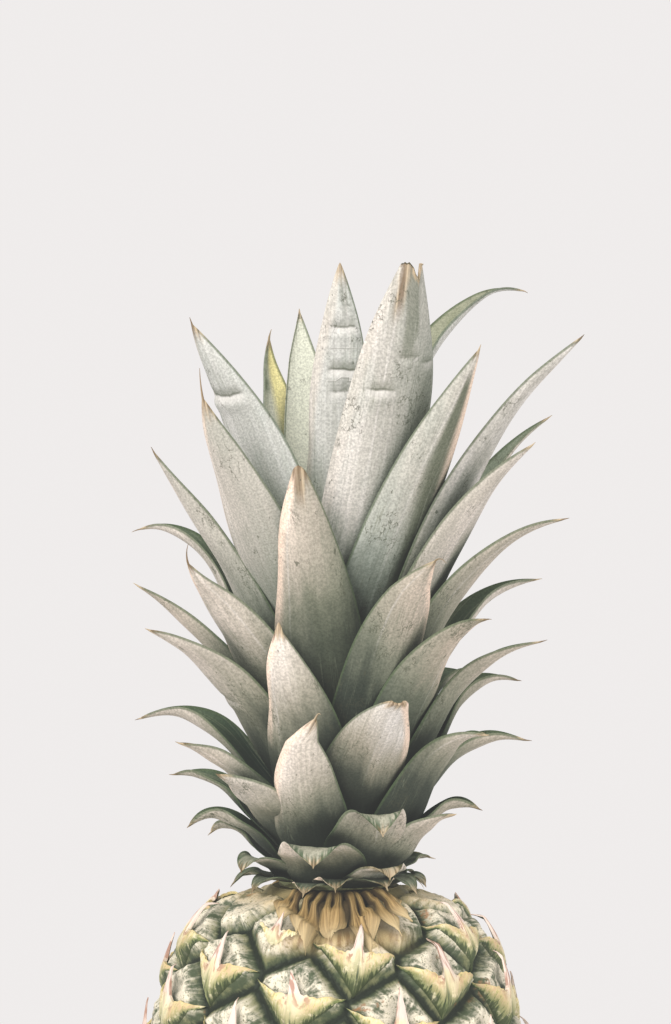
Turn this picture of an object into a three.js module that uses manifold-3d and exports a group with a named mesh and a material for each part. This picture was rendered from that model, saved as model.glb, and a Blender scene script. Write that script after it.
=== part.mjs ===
// A whole fresh pineapple that stands on its cut base: the fruit with its spiral of eyes, the cut end of the
// stalk it grew on, the short stem of the crown, and the crown's leaves, each clasping the stem.
// Millimetres, +Z up. The origin is the middle of the cut base, on the fruit's axis. -Y is the front.

import * as THREE from "three";
import { ConvexGeometry } from "three/addons/geometries/ConvexGeometry.js";
import { mergeVertices } from "three/addons/utils/BufferGeometryUtils.js";
import Module from "manifold-3d";

const wasm = await Module();
wasm.setup();

// Driving dimensions of the whole object
const FRUIT_HEIGHT = 160;
const FRUIT_RADIUS = 56; // of the skin between the eyes, at the belly
const BELLY_HEIGHT = 74;
const GAP = 0.3; // air between two pieces that touch

// Fruit: the skin's profile and the eyes on it
const BASE_RADIUS = 27;
const NECK_RADIUS = 19;
const SHOULDER_POWER = 3.0;
const FOOT_POWER = 2.6;
const FRUIT_SIDES = 36;
const FRUIT_RINGS = 14;
const CORE_INSET = 1.2; // how deep the smooth body lies under the eyes, and the height over which it sinks
const CORE_BLEND = 12;
const PLEATS = 21; // withered bracts round the neck
const PLEAT_DEPTH = 1.3;
const PLEAT_FOOT = 146; // height where they run out on the shoulder, and how much every other one is shorter
const PLEAT_STAGGER = 2;
const PLEAT_HEAD = 158.6;
const EYE_PITCH = 26; // spacing of the eyes at the belly
const EYE_SHRINK = 0.26; // how much closer they stand at both ends
const EYE_CROWDING = 0.97; // skin that an eye takes, as a share of its spacing squared
const EYE_LOWEST = 6; // heights of the skin where the eyes begin and end
const EYE_HIGHEST = 154;
const EYE_TURN = 137.508; // degrees from one eye to the next
const EYE_START = -23;
const EYE_GRID = 4; // steps of the surface from one eye to the next
const SPIRALS = [8, 13]; // the eyes' two sets of spirals, which the surface's grid follows
const EYE_RISE = 3.6;
const EYE_SLOPE = 0.5; // width of the groove's side, as a share of half the spacing
const BRACT_RISE = 1.5;
const BRACT_CREST = -0.05; // height of its crest and of the step behind it, in the eye
const BRACT_BACK = 0.3;
const SPINE_LENGTH = 9;
const SPINE_HALF = 0.14; // half its width and its depth at the root, in the eye
const SPINE_LOWEST = 12; // heights between which the eyes have a spine
const SPINE_HIGHEST = 144;

// Stalk: the cut end in the middle of the base
const STALK_RADIUS = 12;
const STALK_TAPER = 0.6;
const STALK_DEPTH = 7;
const ROUND_SIDES = 24;

// Crown: its stem and its leaves
const STEM_FOOT_RADIUS = 17;
const STEM_TOP_RADIUS = 4;
const STEM_HEIGHT = 84;
const STEM_CAP = 3;
const BLADE_STEPS = 6; // cells of a blade along it and across it
const BLADE_CELLS = 4;
const BLADE_MIDDLE = 1.5; // thickness on the midrib
const BLADE_EDGE = 0.7;
const BLADE_THINNEST = 0.65;
const BLADE_THINNING = 0.6; // what is left of the thickness at the tip
const BLADE_TIP = 0.35; // half the width at the tip
const FOOT_WIDTH = 0.78; // width at the foot, as a share of the widest, and where the blade is widest
const FOOT_LENGTH = 0.25;
const TAPER = 0.95;
const CLASP_WITHIN = 16; // a leaf is curved round the stem up to this reach
const FREE_BEYOND = 36; // and is a free channel past this one
const CLASP_BEND = 62; // most that half a blade turns round the stem, in degrees
const CHANNEL_BEND = 34; // the same in the free channel, at its foot, and what it gains towards the tip
const CHANNEL_GAIN = 14;
const HANDLE = 0.35; // length of a straight centre line's handles, as a share of its chord

// The leaves that the front shows, from the highest to the lowest. Sizes are in mm above the crown's foot and
// out from the axis, and angles in degrees: azimuth 0 is the front and 90 is +X, lift is how steeply the leaf
// leaves the stem and fall how its tip points, both above the horizontal, and sway carries the tip sideways.
// [name, azimuth, root height, tip reach, tip height, lift, fall, width, fullness, sway]
const FRONT_LEAVES = [
  ["heart_tall", 7, 74, 14, 186, 84, 88, 27, 3.0, 0],
  ["back_left_upright", -146, 69, 39, 165, 82, 79, 24, 3.0, 0],
  ["left_upper_broad", -54, 64, 52, 166, 78, 62, 37, 3.6, 0],
  ["right_folded", 118, 58, 64, 184, 82, 20, 27, 2.6, 0],
  ["front_tall", 25, 56, 52, 183, 76, 82, 35, 4.2, 0],
  ["right_front_broad", 42, 53, 62, 158, 73, 60, 34, 3.0, 0],
  ["left_broad", -40, 50, 59, 144, 74, 70, 32, 3.2, 0],
  ["left_straight", -70, 46, 57, 129, 70, 57, 27, 2.4, 0],
  ["right_long_thin", 66, 45, 79, 162, 66, 38, 30, 2.3, 0],
  ["right_rear_high", 112, 43, 70, 141, 62, 38, 24, 2.6, 0],
  ["right_high", 58, 39, 67, 131, 65, 38, 30, 2.6, 0],
  ["left_curled_tip", -102, 38, 62, 108, 56, 4, 27, 2.6, 0],
  ["front_middle", -10, 36, 46, 124, 73, 80, 30, 3.2, -3],
  ["left_front_middle", -44, 33, 62, 96, 66, 44, 31, 3.0, 0],
  ["right_middle", 69, 32, 71, 110, 66, 16, 28, 2.3, 0],
  ["left_thin", -76, 30, 60, 90, 62, 34, 27, 2.4, 0],
  ["right_rear_middle", 116, 29, 69, 91, 56, 8, 25, 2.6, 0],
  ["front_right_middle", 30, 27, 52, 98, 60, 52, 31, 4.0, 0],
  ["left_low_broad", -56, 24, 65, 78, 64, 26, 29, 3.0, 0],
  ["rear_right_dark", 132, 24, 58, 61, 50, -14, 26, 2.8, 0],
  ["right_front_middle", 48, 22, 58, 82, 60, 26, 31, 2.8, 0],
  ["right_arched", 78, 20, 62, 73, 54, 8, 26, 2.3, 0],
  ["left_arched", -104, 18, 61, 49, 54, -18, 26, 2.6, 0],
  ["front_left_blunt", -23, 17, 44, 77, 56, 82, 28, 3.6, 0],
  ["right_rear_low", 112, 16, 60, 60, 46, -14, 25, 2.6, 0],
  ["left_low", -64, 14, 51, 44, 52, 20, 25, 2.6, 0],
  ["front_right_blunt", 14, 14, 52, 57, 56, 44, 28, 4.6, 5],
  ["right_low_arched", 92, 13, 57, 43, 52, -14, 24, 2.4, 0],
  ["left_rear_low", -116, 11, 55, 31, 38, -10, 20, 2.4, 0],
  ["left_low_front", -44, 11, 49, 36, 52, 32, 27, 2.8, 0],
  ["right_low_front", 54, 9, 54, 47, 42, 2, 27, 2.6, 0],
  ["front_low_torn", -16, 8, 46, 53, 48, 86, 24, 3.6, 3],
  ["left_foot_arched", -88, 7, 44, 18, 48, -34, 22, 2.6, 0],
  ["right_foot_arched", 86, 7, 43, 23, 42, -24, 22, 2.4, 0],
  ["right_foot_front", 56, 5, 42, 23, 34, 10, 20, 2.4, 0],
  ["left_foot_rear", -118, 5, 43, 14, 34, -34, 19, 2.6, 0],
  ["front_right_reflexed", 19, 3, 42, 19, 52, -80, 24, 3.0, 0],
  ["left_foot_reflexed", -60, 3, 32, 6, 40, -76, 20, 3.0, 0],
  ["right_foot_rear", 112, 3, 31, 7, 24, -20, 15, 2.4, 0],
  ["front_foot_reflexed", -9, 2, 42, 10, 42, -72, 26, 3.0, 0],
  ["right_foot_reflexed", 32, 1, 30, 5, 30, -80, 20, 3.0, 0],
  ["right_foot_drooping", 72, 1, 28, 1, 22, -70, 15, 2.8, 0],
];

// The leaves behind: spread over the back by the golden section, and shaped by how high they grow. Each pair
// is the lowest leaf's value and the highest's, and belly is what a leaf half-way up has over their mean.
const BACK_LEAVES = 14;
const BACK_FROM = 146;
const BACK_SPREAD = 86;
const BACK_PHASE = 0.55;
const GOLDEN = 0.618034;
const BACK_ROOT = [4, 74];
const BACK_REACH = [34, 38];
const BACK_REACH_BELLY = 29;
const BACK_HEIGHT = [8, 180];
const BACK_LIFT = [28, 84];
const BACK_FALL = [-40, 78];
const BACK_WIDTH = [20, 26];
const BACK_WIDTH_BELLY = 6;
const BACK_FULLNESS = 2.7;

const rad = THREE.MathUtils.degToRad;
const mix = THREE.MathUtils.lerp;
const share = (v, from, to) => THREE.MathUtils.clamp((v - from) / (to - from), 0, 1);
const smooth = (v, from, to) => THREE.MathUtils.smoothstep(v, from, to);

// Solids and meshes

function solidOf(geometry) {
  const bare = geometry.clone();
  bare.deleteAttribute("normal");
  bare.deleteAttribute("uv");
  const merged = mergeVertices(bare, 1e-4);
  return new wasm.Manifold(
    new wasm.Mesh({
      numProp: 3,
      vertProperties: merged.attributes.position.array,
      triVerts: new Uint32Array(merged.index.array),
    }),
  );
}

function geometryOf(solid) {
  const mesh = solid.getMesh();
  return new THREE.BufferGeometry()
    .setAttribute("position", new THREE.BufferAttribute(mesh.vertProperties, 3))
    .setIndex(new THREE.BufferAttribute(mesh.triVerts, 1));
}

// The largest of a solid's bodies, without loose scraps and without bubbles that are closed in.
function largestBody(solid) {
  return solid.decompose().reduce((a, b) => (b.volume() > a.volume() ? b : a));
}

function named(name, geometry, material) {
  const mesh = new THREE.Mesh(geometry, material);
  mesh.name = name;
  return mesh;
}

// A closed body round the axis, from rings that run up its outside: point(i, k) is point k of ring i.
function ringBody(rings, sides, point) {
  const positions = [];
  const index = [];
  const add = (p) => positions.push(p.x, p.y, p.z) / 3 - 1;
  for (let i = 0; i <= rings; i++) {
    for (let k = 0; k < sides; k++) add(point(i, k));
  }
  for (let i = 0; i < rings; i++) {
    for (let k = 0; k < sides; k++) {
      const a = i * sides + k;
      const b = i * sides + ((k + 1) % sides);
      index.push(a, b, b + sides, a, b + sides, a + sides);
    }
  }
  const middle = (i) => {
    const p = new THREE.Vector3();
    for (let k = 0; k < sides; k++) p.addScaledVector(point(i, k), 1 / sides);
    return add(p);
  };
  const low = middle(0);
  const high = middle(rings);
  for (let k = 0; k < sides; k++) {
    const next = (k + 1) % sides;
    index.push(low, next, k, high, rings * sides + k, rings * sides + next);
  }
  return new THREE.BufferGeometry()
    .setAttribute("position", new THREE.Float32BufferAttribute(positions, 3))
    .setIndex(index);
}

// Fruit

// Radius of the skin between the eyes at height z.
function skinRadius(z) {
  if (z >= BELLY_HEIGHT) {
    const t = (z - BELLY_HEIGHT) / (FRUIT_HEIGHT + 1 - BELLY_HEIGHT);
    return Math.max(NECK_RADIUS, FRUIT_RADIUS * (1 - t ** SHOULDER_POWER) ** (1 / SHOULDER_POWER));
  }
  const foot = (1 - (BASE_RADIUS / FRUIT_RADIUS) ** FOOT_POWER) ** (1 / FOOT_POWER);
  const t = ((BELLY_HEIGHT - z) / BELLY_HEIGHT) * foot;
  return FRUIT_RADIUS * (1 - t ** FOOT_POWER) ** (1 / FOOT_POWER);
}

function skinPoint(angle, z, out = 0) {
  const step = 0.5;
  const slope = (skinRadius(z + step) - skinRadius(z - step)) / (2 * step);
  const tilt = Math.hypot(1, slope);
  const r = skinRadius(z) + out / tilt;
  return new THREE.Vector3(r * Math.sin(angle), -r * Math.cos(angle), z - (out * slope) / tilt);
}

// The eyes are counted up the fruit by a running number, one golden angle apart: how high each number lies
// follows from how much skin an eye takes there.
const eyeHeights = (() => {
  const step = 0.1;
  const heights = [];
  let number = 0;
  for (let z = EYE_LOWEST; z <= EYE_HIGHEST; z += step) {
    const slant = Math.hypot(1, (skinRadius(z + step) - skinRadius(z)) / step);
    while (heights.length <= number * EYE_GRID) heights.push(z);
    number += (2 * Math.PI * skinRadius(z) * slant * step) / (eyePitch(z) ** 2 * EYE_CROWDING);
  }
  return heights;
})();

const EYE_COUNT = Math.floor((eyeHeights.length - 1) / EYE_GRID);

function eyePitch(z) {
  const fromMiddle = (z - BELLY_HEIGHT) / (FRUIT_HEIGHT / 2);
  return EYE_PITCH * (1 - EYE_SHRINK * fromMiddle ** 2);
}

// The eyes that share the surface, with the frame of each: middle, right, up and out, and half its spacing.
const eyes = [...Array(EYE_COUNT + 1).keys()].map((n) => {
  const angle = rad(EYE_START + EYE_TURN * n);
  const z = eyeHeights[n * EYE_GRID];
  const right = new THREE.Vector3(Math.cos(angle), Math.sin(angle), 0);
  const out = skinPoint(angle, z, 1).sub(skinPoint(angle, z));
  return { middle: skinPoint(angle, z), right, up: out.clone().cross(right), out, half: eyePitch(z) / 2 };
});

// How far the skin stands out at a point of it: domed eyes with grooves between them, and across each eye the
// crest of the bract that is folded up over its lower half.
function eyeRelief(p) {
  const near = eyes.map((eye) => ({ eye, d: eye.middle.distanceTo(p) })).sort((a, b) => a.d - b.d);
  const [first, second] = near;
  const { middle, up, half } = first.eye;
  const toEdge = (second.d ** 2 - first.d ** 2) / (2 * middle.distanceTo(second.eye.middle)) / half;
  const y = p.clone().sub(middle).dot(up) / half;
  const crest = smooth(y, -1, BRACT_CREST) * (1 - smooth(y, BRACT_CREST, BRACT_BACK));
  return smooth(toEdge, 0, EYE_SLOPE) * (EYE_RISE + BRACT_RISE * crest);
}

// The band of eyes: a grid along both sets of spirals, which closes on itself round the fruit.
function eyeBand() {
  const [short, long] = SPIRALS;
  const turn = (steps) => ((steps * EYE_TURN + 180) % 360) - 180;
  const round = long * EYE_GRID;
  const last = EYE_COUNT * EYE_GRID;
  const positions = [];
  const index = [];
  const known = new Map();
  const vertex = (i, j) => {
    const laps = Math.floor(i / round);
    const key = `${i - laps * round},${j + laps * short * EYE_GRID}`;
    if (!known.has(key)) {
      known.set(key, positions.length / 3);
      const angle = rad(EYE_START + (i * turn(short) + j * turn(long)) / EYE_GRID);
      const z = eyeHeights[short * i + long * j];
      positions.push(...skinPoint(angle, z, eyeRelief(skinPoint(angle, z))).toArray());
    }
    return known.get(key);
  };
  for (let i = 0; i < round; i++) {
    for (let j = Math.ceil((-short * i) / long); short * (i + 1) + long * (j + 1) <= last; j++) {
      const [right, left] = [vertex(i + 1, j), vertex(i, j + 1)];
      index.push(vertex(i, j), right, left, right, vertex(i + 1, j + 1), left);
    }
  }
  // Both open ends are closed by a fan from the axis
  const edges = new Set();
  for (let t = 0; t < index.length; t += 3) {
    for (let k = 0; k < 3; k++) edges.add(`${index[t + k]},${index[t + ((k + 1) % 3)]}`);
  }
  const foot = positions.length / 3;
  positions.push(0, 0, EYE_LOWEST + CORE_BLEND, 0, 0, EYE_HIGHEST - CORE_BLEND);
  for (const edge of edges) {
    const [a, b] = edge.split(",").map(Number);
    const open = !edges.has(`${b},${a}`);
    if (open) index.push(b, a, positions[3 * a + 2] < BELLY_HEIGHT ? foot : foot + 1);
  }
  return new THREE.BufferGeometry()
    .setAttribute("position", new THREE.Float32BufferAttribute(positions, 3))
    .setIndex(index);
}

// The upright spine in which an eye's bract ends.
function spineSolid({ middle, right, up, out, half }) {
  const at = (x, y, o) =>
    middle.clone().addScaledVector(right, x * half).addScaledVector(up, y * half).addScaledVector(out, o);
  const crest = EYE_RISE + BRACT_RISE;
  return solidOf(
    new ConvexGeometry([
      at(-SPINE_HALF, -0.1, crest - 2),
      at(SPINE_HALF, -0.1, crest - 2),
      at(0, -2 * SPINE_HALF, crest + 0.3),
      at(0, 2 * SPINE_HALF, crest - 2.5),
      at(0, SPINE_LENGTH / half, crest + 1.6),
    ]),
  );
}

// One of the withered bracts that stand as pleats round the neck and run out over the shoulder.
function pleatSolid(k) {
  const middle = (2 * Math.PI * k) / PLEATS;
  const wide = Math.PI / PLEATS;
  const at = (turn, z, out) => skinPoint(middle + turn * wide, z, out);
  const foot = PLEAT_FOOT + (k % 2) * PLEAT_STAGGER;
  return solidOf(
    new ConvexGeometry([
      at(0, foot, 0.6),
      at(-0.8, foot + 6, -1),
      at(0.8, foot + 6, -1),
      at(0, foot + 7, PLEAT_DEPTH + 0.8),
      at(-0.9, PLEAT_HEAD, -2),
      at(0.9, PLEAT_HEAD, -2),
      at(0, PLEAT_HEAD, PLEAT_DEPTH),
      at(0, foot + 8, -3),
    ]),
  );
}

function fruitMesh() {
  const body = ringBody(FRUIT_RINGS, FRUIT_SIDES, (i, k) => {
    const z = FRUIT_HEIGHT * (0.5 - 0.5 * Math.cos((Math.PI * i) / FRUIT_RINGS));
    const above = smooth(z, EYE_LOWEST, EYE_LOWEST + CORE_BLEND);
    const below = 1 - smooth(z, EYE_HIGHEST - CORE_BLEND, EYE_HIGHEST);
    const r = skinRadius(z) - CORE_INSET * above * below;
    const angle = (2 * Math.PI * k) / FRUIT_SIDES;
    return new THREE.Vector3(r * Math.sin(angle), -r * Math.cos(angle), z);
  });
  const pleats = [...Array(PLEATS).keys()].map(pleatSolid);
  const socketRadius = STALK_RADIUS + GAP;
  const socket = new THREE.CylinderGeometry(socketRadius, socketRadius, STALK_DEPTH * 2, ROUND_SIDES);
  socket.rotateX(Math.PI / 2);
  const spined = eyes.filter(({ middle }) => middle.z > SPINE_LOWEST && middle.z < SPINE_HIGHEST);
  const spines = spined.map(spineSolid);
  const grown = wasm.Manifold.union([solidOf(body), solidOf(eyeBand()), ...spines, ...pleats]);
  const skin = new THREE.MeshStandardMaterial({ color: 0x8a8a52, roughness: 0.62 });
  return named("fruit", geometryOf(largestBody(grown.subtract(solidOf(socket)))), skin);
}

// Stalk

function stalkMesh() {
  const length = STALK_DEPTH - GAP;
  const geometry = new THREE.CylinderGeometry(STALK_RADIUS - STALK_TAPER, STALK_RADIUS, length, ROUND_SIDES);
  geometry.rotateX(Math.PI / 2);
  geometry.translate(0, 0, length / 2);
  const cutWood = new THREE.MeshStandardMaterial({ color: 0xb59a68, roughness: 0.85 });
  return named("stalk", geometry, cutWood);
}

// Crown

const stemRadius = (h) => mix(STEM_FOOT_RADIUS, STEM_TOP_RADIUS, share(h, 0, STEM_HEIGHT));

// Centre line of a leaf in its own upright plane: a curve of (reach, height above the crown's foot).
function centreLine({ root, reach, height, lift, fall }) {
  const from = new THREE.Vector2(stemRadius(root) + GAP + BLADE_MIDDLE / 2, root);
  const to = new THREE.Vector2(reach, height);
  const handle = (HANDLE * from.distanceTo(to)) / Math.cos(rad(lift - fall) / 4) ** 2;
  const leave = new THREE.Vector2(Math.cos(rad(lift)), Math.sin(rad(lift))).multiplyScalar(handle);
  const arrive = new THREE.Vector2(Math.cos(rad(fall)), Math.sin(rad(fall))).multiplyScalar(-handle);
  return new THREE.CubicBezierCurve(from, from.clone().add(leave), to.clone().add(arrive), to);
}

// A leaf's blade: a channel that is deepest at the foot, where it clasps the stem, and tapers to a point.
// spare thickens it, to cut a clear space for it in its neighbours.
function bladeSolid(leaf, spare = 0) {
  const line = centreLine(leaf);
  const [steps, across] = [BLADE_STEPS, BLADE_CELLS];
  const az = rad(leaf.azimuth);
  const out = new THREE.Vector3(Math.sin(az), -Math.cos(az), 0);
  const side = new THREE.Vector3(Math.cos(az), Math.sin(az), 0);
  const up = new THREE.Vector3(0, 0, 1);
  const point = (i, k, face) => {
    const s = i / steps;
    const c = line.getPoint(s);
    const d = line.getTangent(s);
    const swell = mix(FOOT_WIDTH, 1, smooth(s, 0, FOOT_LENGTH));
    const half = 0.5 * leaf.width * swell * (1 - s ** leaf.fullness) ** TAPER + BLADE_TIP + spare;
    const free = smooth(c.x, CLASP_WITHIN, FREE_BEYOND);
    const clasp = Math.max(c.x, half / rad(CLASP_BEND));
    const arc = mix(clasp, half / rad(CHANNEL_BEND + CHANNEL_GAIN * s * s), free);
    const n = new THREE.Vector2(mix(-1, -d.y, free), mix(0, d.x, free)).normalize();
    const u = (2 * k) / across - 1;
    const full = mix(BLADE_MIDDLE, BLADE_EDGE, Math.abs(u)) * mix(1, BLADE_THINNING, s);
    const thick = Math.max(full, BLADE_THINNEST);
    const inward = arc * (1 - Math.cos((half / arc) * u)) + face * (0.5 * thick + spare);
    return new THREE.Vector3(0, 0, FRUIT_HEIGHT)
      .addScaledVector(out, c.x + n.x * inward)
      .addScaledVector(up, c.y + n.y * inward)
      .addScaledVector(side, leaf.sway * s * s + arc * Math.sin((half / arc) * u));
  };
  const positions = [];
  const index = [];
  const row = 2 * (across + 1);
  for (let i = 0; i <= steps; i++) {
    for (let k = 0; k <= across; k++) positions.push(...point(i, k, -1).toArray());
    for (let k = across; k >= 0; k--) positions.push(...point(i, k, 1).toArray());
  }
  for (let i = 0; i < steps; i++) {
    for (let k = 0; k < row; k++) {
      const a = i * row + k;
      const b = i * row + ((k + 1) % row);
      // The inner face is split along the same diagonals as the outer face
      if (k > across) index.push(a, b, a + row, b, b + row, a + row);
      else index.push(a, b, b + row, a, b + row, a + row);
    }
  }
  const top = steps * row;
  for (let k = 0; k < across; k++) {
    const mate = row - 1 - k;
    index.push(k, mate - 1, k + 1, k, mate, mate - 1);
    index.push(top + k, top + k + 1, top + mate - 1, top + k, top + mate - 1, top + mate);
  }
  const geometry = new THREE.BufferGeometry()
    .setAttribute("position", new THREE.Float32BufferAttribute(positions, 3))
    .setIndex(index);
  return solidOf(geometry);
}

function frontLeaves() {
  return FRONT_LEAVES.map(([name, azimuth, root, reach, height, lift, fall, width, fullness, sway]) => ({
    name: `leaf_${name}`,
    azimuth,
    root,
    reach,
    height,
    lift,
    fall,
    width,
    fullness,
    sway,
  }));
}

function backLeaves() {
  return [...Array(BACK_LEAVES).keys()].map((n) => {
    const t = (n + 0.5) / BACK_LEAVES;
    const belly = 4 * t * (1 - t);
    return {
      name: `leaf_back_${String(n + 1).padStart(2, "0")}`,
      azimuth: BACK_FROM + BACK_SPREAD * ((BACK_PHASE + n * GOLDEN) % 1),
      root: mix(...BACK_ROOT, t),
      reach: mix(...BACK_REACH, t) + BACK_REACH_BELLY * belly,
      height: mix(...BACK_HEIGHT, t),
      lift: mix(...BACK_LIFT, t ** 0.7),
      fall: mix(...BACK_FALL, t),
      width: mix(...BACK_WIDTH, t) + BACK_WIDTH_BELLY * belly,
      fullness: BACK_FULLNESS,
      sway: 0,
    };
  });
}

function crownMeshes() {
  const leafGreen = new THREE.MeshStandardMaterial({ color: 0x8f9384, roughness: 0.6 });
  const stemGreen = new THREE.MeshStandardMaterial({ color: 0xa3a06c, roughness: 0.7 });
  const column = (spare) => {
    const points = [
      new THREE.Vector2(0, GAP - spare),
      new THREE.Vector2(STEM_FOOT_RADIUS + spare, GAP - spare),
      new THREE.Vector2(STEM_TOP_RADIUS + spare, STEM_HEIGHT + spare),
      new THREE.Vector2(0, STEM_HEIGHT + STEM_CAP + spare),
    ];
    const geometry = new THREE.LatheGeometry(points, ROUND_SIDES);
    geometry.rotateX(Math.PI / 2);
    geometry.translate(0, 0, FRUIT_HEIGHT);
    return solidOf(geometry);
  };
  const stem = column(0);
  const clear = [column(GAP)];
  const meshes = [];
  const leaves = [...frontLeaves(), ...backLeaves()].sort((a, b) => b.root - a.root);
  for (const leaf of leaves) {
    const cut = wasm.Manifold.union(clear);
    meshes.push(named(leaf.name, geometryOf(largestBody(bladeSolid(leaf).subtract(cut))), leafGreen));
    clear.push(bladeSolid(leaf, GAP));
  }
  meshes.push(named("crown_stem", geometryOf(stem), stemGreen));
  return meshes;
}

const pineapple = new THREE.Group();
pineapple.add(fruitMesh(), stalkMesh(), ...crownMeshes());

export default pineapple;
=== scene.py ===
# A whole fresh pineapple that stands on its cut base: the finish of its fruit, stalk and crown of leaves.
# Sizes are in millimetres unless a name or a comment says otherwise, and MM turns them into metres.

import math

import bpy
import numpy as np
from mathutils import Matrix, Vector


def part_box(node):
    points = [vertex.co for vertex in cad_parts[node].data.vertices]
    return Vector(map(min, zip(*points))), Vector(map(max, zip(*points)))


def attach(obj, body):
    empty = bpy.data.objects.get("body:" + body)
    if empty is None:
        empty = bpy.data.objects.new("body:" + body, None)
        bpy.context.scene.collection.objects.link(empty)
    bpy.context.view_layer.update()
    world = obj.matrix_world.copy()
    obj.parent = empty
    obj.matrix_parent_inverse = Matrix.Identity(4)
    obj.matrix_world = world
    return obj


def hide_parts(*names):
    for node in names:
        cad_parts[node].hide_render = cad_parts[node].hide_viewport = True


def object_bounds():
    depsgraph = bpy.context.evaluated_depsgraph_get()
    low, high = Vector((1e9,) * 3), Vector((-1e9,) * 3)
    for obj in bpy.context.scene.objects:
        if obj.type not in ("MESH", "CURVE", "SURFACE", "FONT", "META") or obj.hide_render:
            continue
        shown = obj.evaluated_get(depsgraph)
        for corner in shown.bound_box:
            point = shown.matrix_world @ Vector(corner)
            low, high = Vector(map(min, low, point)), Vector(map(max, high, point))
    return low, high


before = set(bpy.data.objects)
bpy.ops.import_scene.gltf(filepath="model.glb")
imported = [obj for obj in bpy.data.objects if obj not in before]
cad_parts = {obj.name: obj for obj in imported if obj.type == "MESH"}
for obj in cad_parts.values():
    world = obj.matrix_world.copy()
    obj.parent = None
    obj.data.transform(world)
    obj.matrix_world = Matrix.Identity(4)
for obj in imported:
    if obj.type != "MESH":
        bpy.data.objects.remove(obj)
cad_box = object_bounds()

# The fruit's skin. Some ninety fused fruitlets, the eyes, stand in two sets of spirals, 8 one way and 13 the
# other. Each is a low dome of tough waxy skin, wrinkled towards its middle, with a deep groove round it.
# The mesh follows both sets of spirals, so that it closes on itself and each eye gets the same share of it.
MM = 0.001
FRUIT_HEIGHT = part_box("fruit")[1].z / MM
FRUIT_RADIUS = 56.0  # of the skin between the eyes
BELLY_HEIGHT = 74.0
BASE_RADIUS = 27.0
NECK_RADIUS = 19.0
SHOULDER_POWER = 3.0
FOOT_POWER = 2.6
CORE_INSET = 3.2  # the smooth skin under the eyes, and the height over which it sinks
CORE_BLEND = 12.0
EYE_PITCH = 26.0  # from eye to eye at the belly, and the share by which that shrinks towards the ends
EYE_SHRINK = 0.26
EYE_CROWDING = 0.97  # the skin that one eye takes, as a share of its pitch squared
EYE_LOWEST = 6.0
EYE_HIGHEST = 154.5
PADS_SINK_FROM = 150.0  # the height from which the pads get lower towards the crown
NECK_EDGE = 159.0  # where the pads end under the crown
EYE_TURN = 137.508  # degrees from one eye to the next
EYE_START = -23.0
SPIRALS = (8, 13)
SIDE_SPIRAL = 5  # the steeper neighbours, which only meet at an eye's corners
EYE_STEPS = 28  # cells of the mesh from one eye to the next
SKIN_STEPS = 1600  # heights at which the plain skin is worked out
END_STEPS = 20  # of those, from which the eyes' spacing is carried on past the ends
CORE_SIDES = 144
CORE_RINGS = 61
SHARP_ANGLE = 62.0  # degrees between faces, from which on their edge is sharp
EYE_RISE = 3.9
SKIN_INSET = 2.1  # how far the grooves lie inside the plain skin
PAD_EDGE = 0.42  # how far inside an eye's edge its pad is at full height, as a share of its half width
PIT_DEPTH = 0.9
WRINKLES = 27
WRINKLE_RISE = 0.13
WRINKLE_DROP = 0.15  # they run together this far below an eye's middle
RIM_RISE = 0.45
GROOVE_GREEN_AND_SHADE = (0.011, 0.015, 0.008, 1)
PAD_GREEN = (0.075, 0.09, 0.05, 1)
PAD_OLIVE = (0.24, 0.235, 0.12, 1)
BLOOM = (0.87, 0.8, 0.64, 1)
PAD_BROWN = (0.36, 0.16, 0.07, 1)
PAD_GOLD = (0.62, 0.4, 0.12, 1)
NECK_OCHRE = (0.6, 0.45, 0.22, 1)
NECK_BROWN = (0.28, 0.16, 0.06, 1)
NECK_SHADE_DARK = (0.07, 0.042, 0.02, 1)
NECK_LOBES = 2
NECK_LOBE_AT = math.radians(4)
NECK_LOBE_EDGE = (0.3, 0.88)
# Heights in metres, as the material reads them, over which one look of the skin turns into the next
POWDERY_AND_LIT_TOP = (0.138, 0.15)
RIPE = (0.11, 0.0)
NECK_FIBROUS = (0.143, 0.15)
NECK_SHADED = (0.1475, 0.152)
NECK_PALE = (0.158, 0.1635)
BUMP_STRENGTH = 0.8
SHADE_RAYS = 6
SEED = 283

chance = np.random.default_rng(SEED)


def smooth(value, low, high):
    """0 at low and 1 at high, with a soft start and end."""
    t = np.clip((value - low) / (high - low), 0.0, 1.0)
    return t * t * (3.0 - 2.0 * t)


def skin_radius(z):
    """Half the width of the plain skin at a height: a round shoulder over the belly and a rounder foot."""
    up = np.clip((z - BELLY_HEIGHT) / (FRUIT_HEIGHT + 1.0 - BELLY_HEIGHT), 0.0, 1.0)
    shoulder = FRUIT_RADIUS * (1.0 - up**SHOULDER_POWER) ** (1.0 / SHOULDER_POWER)
    reach = (1.0 - (BASE_RADIUS / FRUIT_RADIUS) ** FOOT_POWER) ** (1.0 / FOOT_POWER)
    down = np.clip((BELLY_HEIGHT - z) / BELLY_HEIGHT, 0.0, 1.0) * reach
    foot = FRUIT_RADIUS * (1.0 - down**FOOT_POWER) ** (1.0 / FOOT_POWER)
    return np.maximum(np.where(z >= BELLY_HEIGHT, shoulder, foot), NECK_RADIUS)


def skin_point(angle, z, out=0.0):
    """Point of the skin at an angle and height, moved out along the skin's own outward direction."""
    slope = skin_radius(z + 0.5) - skin_radius(z - 0.5)
    tilt = np.hypot(1.0, slope)
    r = skin_radius(z) + out / tilt
    return np.stack([r * np.sin(angle), -r * np.cos(angle), z - out * slope / tilt], axis=-1)


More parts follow.
